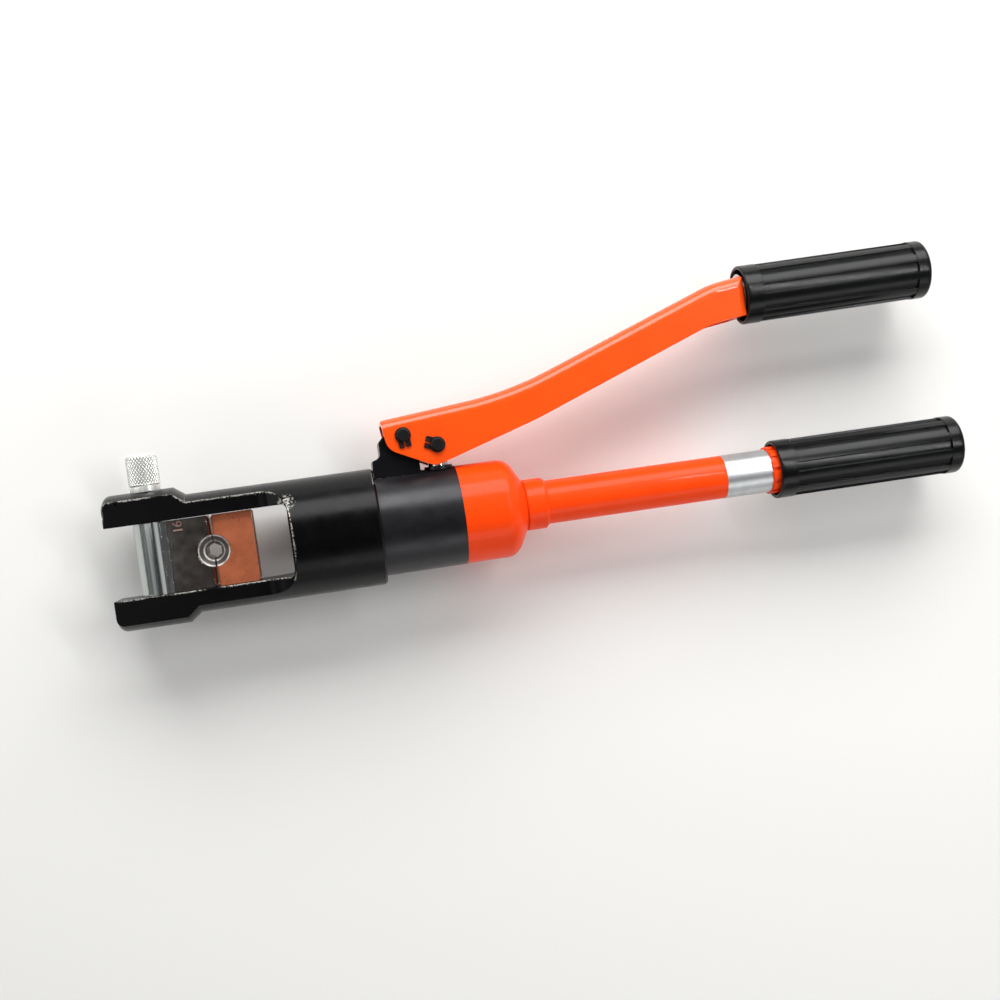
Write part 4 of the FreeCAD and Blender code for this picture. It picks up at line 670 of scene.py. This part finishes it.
class CRIMPER_OT_pump(Operator):
    """Finish the cylinder, its bracket, the pins and clips, the plunger and everything inside"""
    bl_idname = "crimper.pump"
    bl_label = "Cylinder and pump"

    def execute(self, context):
        colours, sizes = settings()
        dress(oxide_black("black_oxide_on_turned_steel", colours.cylinder), "cylinder_body")
        dress(worn_enamel("stoved_enamel_on_bracket", linear("#121214"), colours.bare, sizes.edge_wear * 0.5),
              "lever_bracket")
        dress(oxide_black("black_oxide_on_pins", linear("#191819")),
              "lever_pivot_pin", "plunger_pin", "e_clips", "plunger_gland")
        dress(plain_metal("turned_steel_of_plugs", linear("#9C9C9E"), 0.3), "outlet_valve_retainer",
              "inlet_valve_seat", "relief_screw", "handle_retaining_nut", "tube_end_plug")
        dress(soft_plastic("nitrile_rubber", linear("#151515"), 0.6),
              "piston_seal", "rod_wiper", "plunger_seal", "handle_o_ring", "oil_bladder")
        dress(soft_plastic("turned_plastic_backup_ring", linear("#E6E4DC"), 0.5), "piston_backup_ring")
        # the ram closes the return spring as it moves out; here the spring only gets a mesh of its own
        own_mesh(NODES["ram_return_spring"])
        return {"FINISHED"}


class CRIMPER_OT_lever(Operator):
    """Finish the pressed lever and the turning handle with its housing, ring and foil band"""
    bl_idname = "crimper.lever"
    bl_label = "Lever, housing and handle"

    def execute(self, context):
        colours, _ = settings()
        dress(powder_coat("orange_powder_coat", colours.orange, 0.13), "reservoir_housing", "handle_tube",
              "grip_lock_ring")
        dress(powder_coat("glossy_orange_powder_coat", colours.lever, 0.8), "lever_channel")
        dress(foil_sheet("aluminium_foil", colours.foil), "foil_band")
        return {"FINISHED"}


def grip_profile(length, radius, collars):
    """A grip's outline from its blind bore's end, out through the mouth and along the outside to its far end.
    Its points lie closest where the collars end."""
    mouth_radius, mouth_depth = 15.9 * MM, 12.0 * MM
    bore_radius, bore_end = 13.4 * MM, length - 5.0 * MM
    rounding = 2.5 * MM
    lip = (radius - mouth_radius) / 2
    first, last = collars[0], length - collars[1]
    step = 0.6 * MM
    outside = np.concatenate([
        np.linspace(lip, first - step, 6)[1:], np.linspace(first - step, first + step, 14)[1:],
        np.linspace(first + step, last - step, 40)[1:], np.linspace(last - step, last + step, 14)[1:],
        np.linspace(last + step, length - rounding, 4)[1:],
    ])
    return in_order(
        (bore_end, 0), (bore_end, bore_radius), run((bore_end, bore_radius), (mouth_depth, bore_radius), 4),
        (mouth_depth, bore_radius), (mouth_depth, mouth_radius),
        run((mouth_depth, mouth_radius), (lip, mouth_radius), 3),
        arc((lip, mouth_radius + lip), lip, 270, 90, 13),
        np.stack([outside, np.full(len(outside), radius)], axis=-1),
        arc((length - rounding, radius - rounding), rounding, 90, 0, 12),
        run((length, radius - rounding), (length, 0), 3),
        (length, 0))


def grip_angles(grooves, groove_share, soft_share):
    """Angles round a grip, closest together at the groove's two edges. Shares are of one groove's pitch."""
    edge = groove_share / 2
    half = np.concatenate([
        np.linspace(0, edge - soft_share, 6)[:-1], np.linspace(edge - soft_share, edge + soft_share, 9)[:-1],
        np.linspace(edge + soft_share, 0.5, 6)[:-1]])
    one = np.concatenate([-half[:0:-1], half, [0.5]])
    turns = (np.arange(grooves)[:, None] + 0.5 + one[None, :]).ravel()
    return 2 * math.pi * turns / grooves


def grip_surface(sizes, length, radius):
    """A grip turned about its axis, from its mouth at 0.

    Each groove is a flat-bottomed trough, and the ribs between lie a little below the collars: the rib's drop
    times a step up at each end, plus the rest of the groove's depth times the same steps and one across it.
    """
    collars = (11.0 * MM, 9.0 * MM)
    soft = 0.4 * MM
    profile = grip_profile(length, radius, collars)
    along, radii = profile[:, :1], profile[:, 1:]
    pitch = 2 * math.pi / sizes.grip_grooves
    angle = grip_angles(sizes.grip_grooves, sizes.groove_width / (radius * pitch), soft / (radius * pitch))
    across = radius * pitch * np.abs((angle / pitch) % 1 - 0.5)
    side = smooth_step((sizes.groove_width / 2 - across) / soft + 0.5)
    ends = smooth_step((along - collars[0]) / soft + 0.5)
    ends = ends * smooth_step((length - collars[1] - along) / soft + 0.5)
    outside = radii > radius - 1e-6
    depth = ends * outside * (sizes.rib_drop + (sizes.groove_depth - sizes.rib_drop) * side)
    return round_about(profile, angle, depth)


class CRIMPER_OT_grips(Operator):
    """Make the two moulded grips with their long grooves"""
    bl_idname = "crimper.grips"
    bl_label = "Grips"

    def execute(self, context):
        colours, sizes = settings()
        plastic = moulded_plastic("moulded_black_plastic", colours.grip)
        low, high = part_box("lower_grip")
        along, across, up = grip_surface(sizes, high.x - low.x, (high.z - low.z) / 2)
        faces = ring_faces(*along.shape)
        points = np.stack([along, across, up], axis=-1).reshape(-1, 3)
        lower = points + np.array([low.x, (low.y + high.y) / 2, (low.z + high.z) / 2])
        grip = mesh_piece("lower_grip_moulding", lower, faces, plastic, "handle", 70)
        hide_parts("lower_grip")
        # the lever's grip is turned a little from the handle's
        tilt = math.radians(1.1)
        turn = np.array([[math.cos(tilt), math.sin(tilt), 0], [-math.sin(tilt), math.cos(tilt), 0], [0, 0, 1]])
        upper = points @ turn
        low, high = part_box("upper_grip")
        upper -= (upper.max(axis=0) + upper.min(axis=0)) / 2 - np.array((low + high) / 2)
        grip = mesh_piece("upper_grip_moulding", upper, faces, plastic, "lever", 70)
        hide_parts("upper_grip")
        return {"FINISHED"}


# stage

def area_light(name, place, aim, size, power):
    """A white softbox at a place, turned to its aim: size in metres, power in watts."""
    light = bpy.data.lights.new(name, "AREA")
    light.shape = "RECTANGLE"
    light.size, light.size_y = size
    light.energy = power
    lamp = bpy.data.objects.new(name, light)
    lamp.location = place
    lamp.rotation_euler = (Vector(aim) - Vector(place)).to_track_quat("-Z", "Y").to_euler()
    bpy.context.scene.collection.objects.link(lamp)


def lay_floor(colour):
    """A plain square of paper, much wider than the view, at the level that the tool lies on."""
    half = 6.0
    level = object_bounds()[0].z
    mesh = bpy.data.meshes.new("floor")
    mesh.from_pydata([(-half, -half, level), (half, -half, level), (half, half, level), (-half, half, level)],
                     [], [(0, 1, 2, 3)])
    floor = bpy.data.objects.new("floor", mesh)
    bpy.context.scene.collection.objects.link(floor)
    mesh.materials.append(start_material("matt_paper_floor", colour, 0.0, 0.85)[0])
    floor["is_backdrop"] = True


def light_sky():
    """A soft pale sky that is darker overhead. In reflections it also has dark flags to both sides and one
    bright strip overhead, which draw the stripes on the anvil. To the camera it is a plain pale wall. Across
    and height are x and z of a direction of length 1."""
    world = bpy.data.worlds.new("studio")
    bpy.context.scene.world = world
    world.use_nodes = True
    tree = world.node_tree
    pale = linear("#F4F5F6")
    direction = add_node(tree, "ShaderNodeTexCoord").outputs["Generated"]
    across, _, height = x_y_z(tree, direction)
    sky = blend_colours(tree, remap(tree, height, 0.3, 0.85), pale, linear("#4C4C4E"))
    waves = calculate(tree, "SINE", calculate(tree, "MULTIPLY_ADD", across, 19.0, 0.9))
    beside = remap(tree, calculate(tree, "ABSOLUTE", across), 0.12, 0.3)
    flags = times(tree, remap(tree, waves, -0.2, 0.5), beside, 0.75)
    flagged = blend_colours(tree, flags, sky, linear("#2A2C2E"))
    strip = times(tree, within(tree, across, -0.42, -0.15, 0.01), remap(tree, height, 0.9, 0.95))
    lit = blend_colours(tree, strip, flagged, linear("#FFFFFF"))
    seen = add_node(tree, "ShaderNodeLightPath").outputs["Is Camera Ray"]
    background = tree.nodes["Background"]
    tree.links.new(blend_colours(tree, seen, lit, pale), background.inputs["Color"])
    background.inputs["Strength"].default_value = 0.85


def place_camera():
    """The camera stands and looks as a fit to the photograph's own edges says."""
    camera = bpy.data.cameras.new("camera")
    camera.lens = 48.34
    camera.sensor_width = 36.0
    eye = bpy.data.objects.new("camera", camera)
    eye.location = (-0.14246, -0.02676, 0.84456)
    eye.rotation_euler = [math.radians(a) for a in (0.168, -7.885, -8.086)]
    bpy.context.scene.collection.objects.link(eye)
    bpy.context.scene.camera = eye


class CRIMPER_OT_stage(Operator):
    """Lay the pale floor, set the soft lights and place the camera"""
    bl_idname = "crimper.stage"
    bl_label = "Floor, lights and camera"

    def execute(self, context):
        colours, _ = settings()
        lay_floor(colours.floor)
        area_light("large_softbox", place=(0.1, 1.2, 0.85), aim=(0.0, 0.0, 0.0), size=(2.0, 0.85), power=33)
        area_light("strip_light", place=(0.66, 0.24, 1.25), aim=(0.2, 0.0, 0.0), size=(0.95, 0.03), power=6)
        area_light("side_softbox", place=(-1.25, 0.1, 0.6), aim=(-0.1, 0.0, 0.0), size=(0.16, 1.2), power=2)
        area_light("fill_softbox", place=(0.35, -1.1, 0.8), aim=(0.0, 0.0, 0.0), size=(1.2, 0.5), power=3)
        light_sky()
        place_camera()
        context.scene.view_settings.view_transform = "Standard"
        return {"FINISHED"}


class CRIMPER_PT_panel(Panel):
    """Lists the pieces of the crimping tool"""
    bl_idname = "CRIMPER_PT_panel"
    bl_label = "Crimping Tool"
    bl_space_type = "VIEW_3D"
    bl_region_type = "UI"
    bl_category = "Crimping Tool"

    def draw(self, context):
        for operator in OPERATORS:
            self.layout.operator(operator.bl_idname)
        for group in (context.scene.crimper_colours, context.scene.crimper_sizes):
            for name in group.__annotations__:
                self.layout.prop(group, name)


OPERATORS = (CRIMPER_OT_stage, CRIMPER_OT_head, CRIMPER_OT_latch, CRIMPER_OT_dies, CRIMPER_OT_pump,
             CRIMPER_OT_lever, CRIMPER_OT_grips)
CLASSES = (CrimperColours, CrimperSizes) + OPERATORS + (CRIMPER_PT_panel,)


def register():
    """Adds the classes, and the tool's colours and sizes to every scene."""
    for item in CLASSES:
        bpy.utils.register_class(item)
    bpy.types.Scene.crimper_colours = PointerProperty(type=CrimperColours)
    bpy.types.Scene.crimper_sizes = PointerProperty(type=CrimperSizes)


def unregister():
    """Takes out what register adds, in the opposite order."""
    del bpy.types.Scene.crimper_sizes
    del bpy.types.Scene.crimper_colours
    for item in reversed(CLASSES):
        bpy.utils.unregister_class(item)


def main():
    """Makes the stage and every group of pieces."""
    register()
    bpy.ops.crimper.stage()
    bpy.ops.crimper.head()
    bpy.ops.crimper.latch()
    bpy.ops.crimper.dies()
    bpy.ops.crimper.pump()
    bpy.ops.crimper.lever()
    bpy.ops.crimper.grips()


if __name__ == "__main__":
    main()
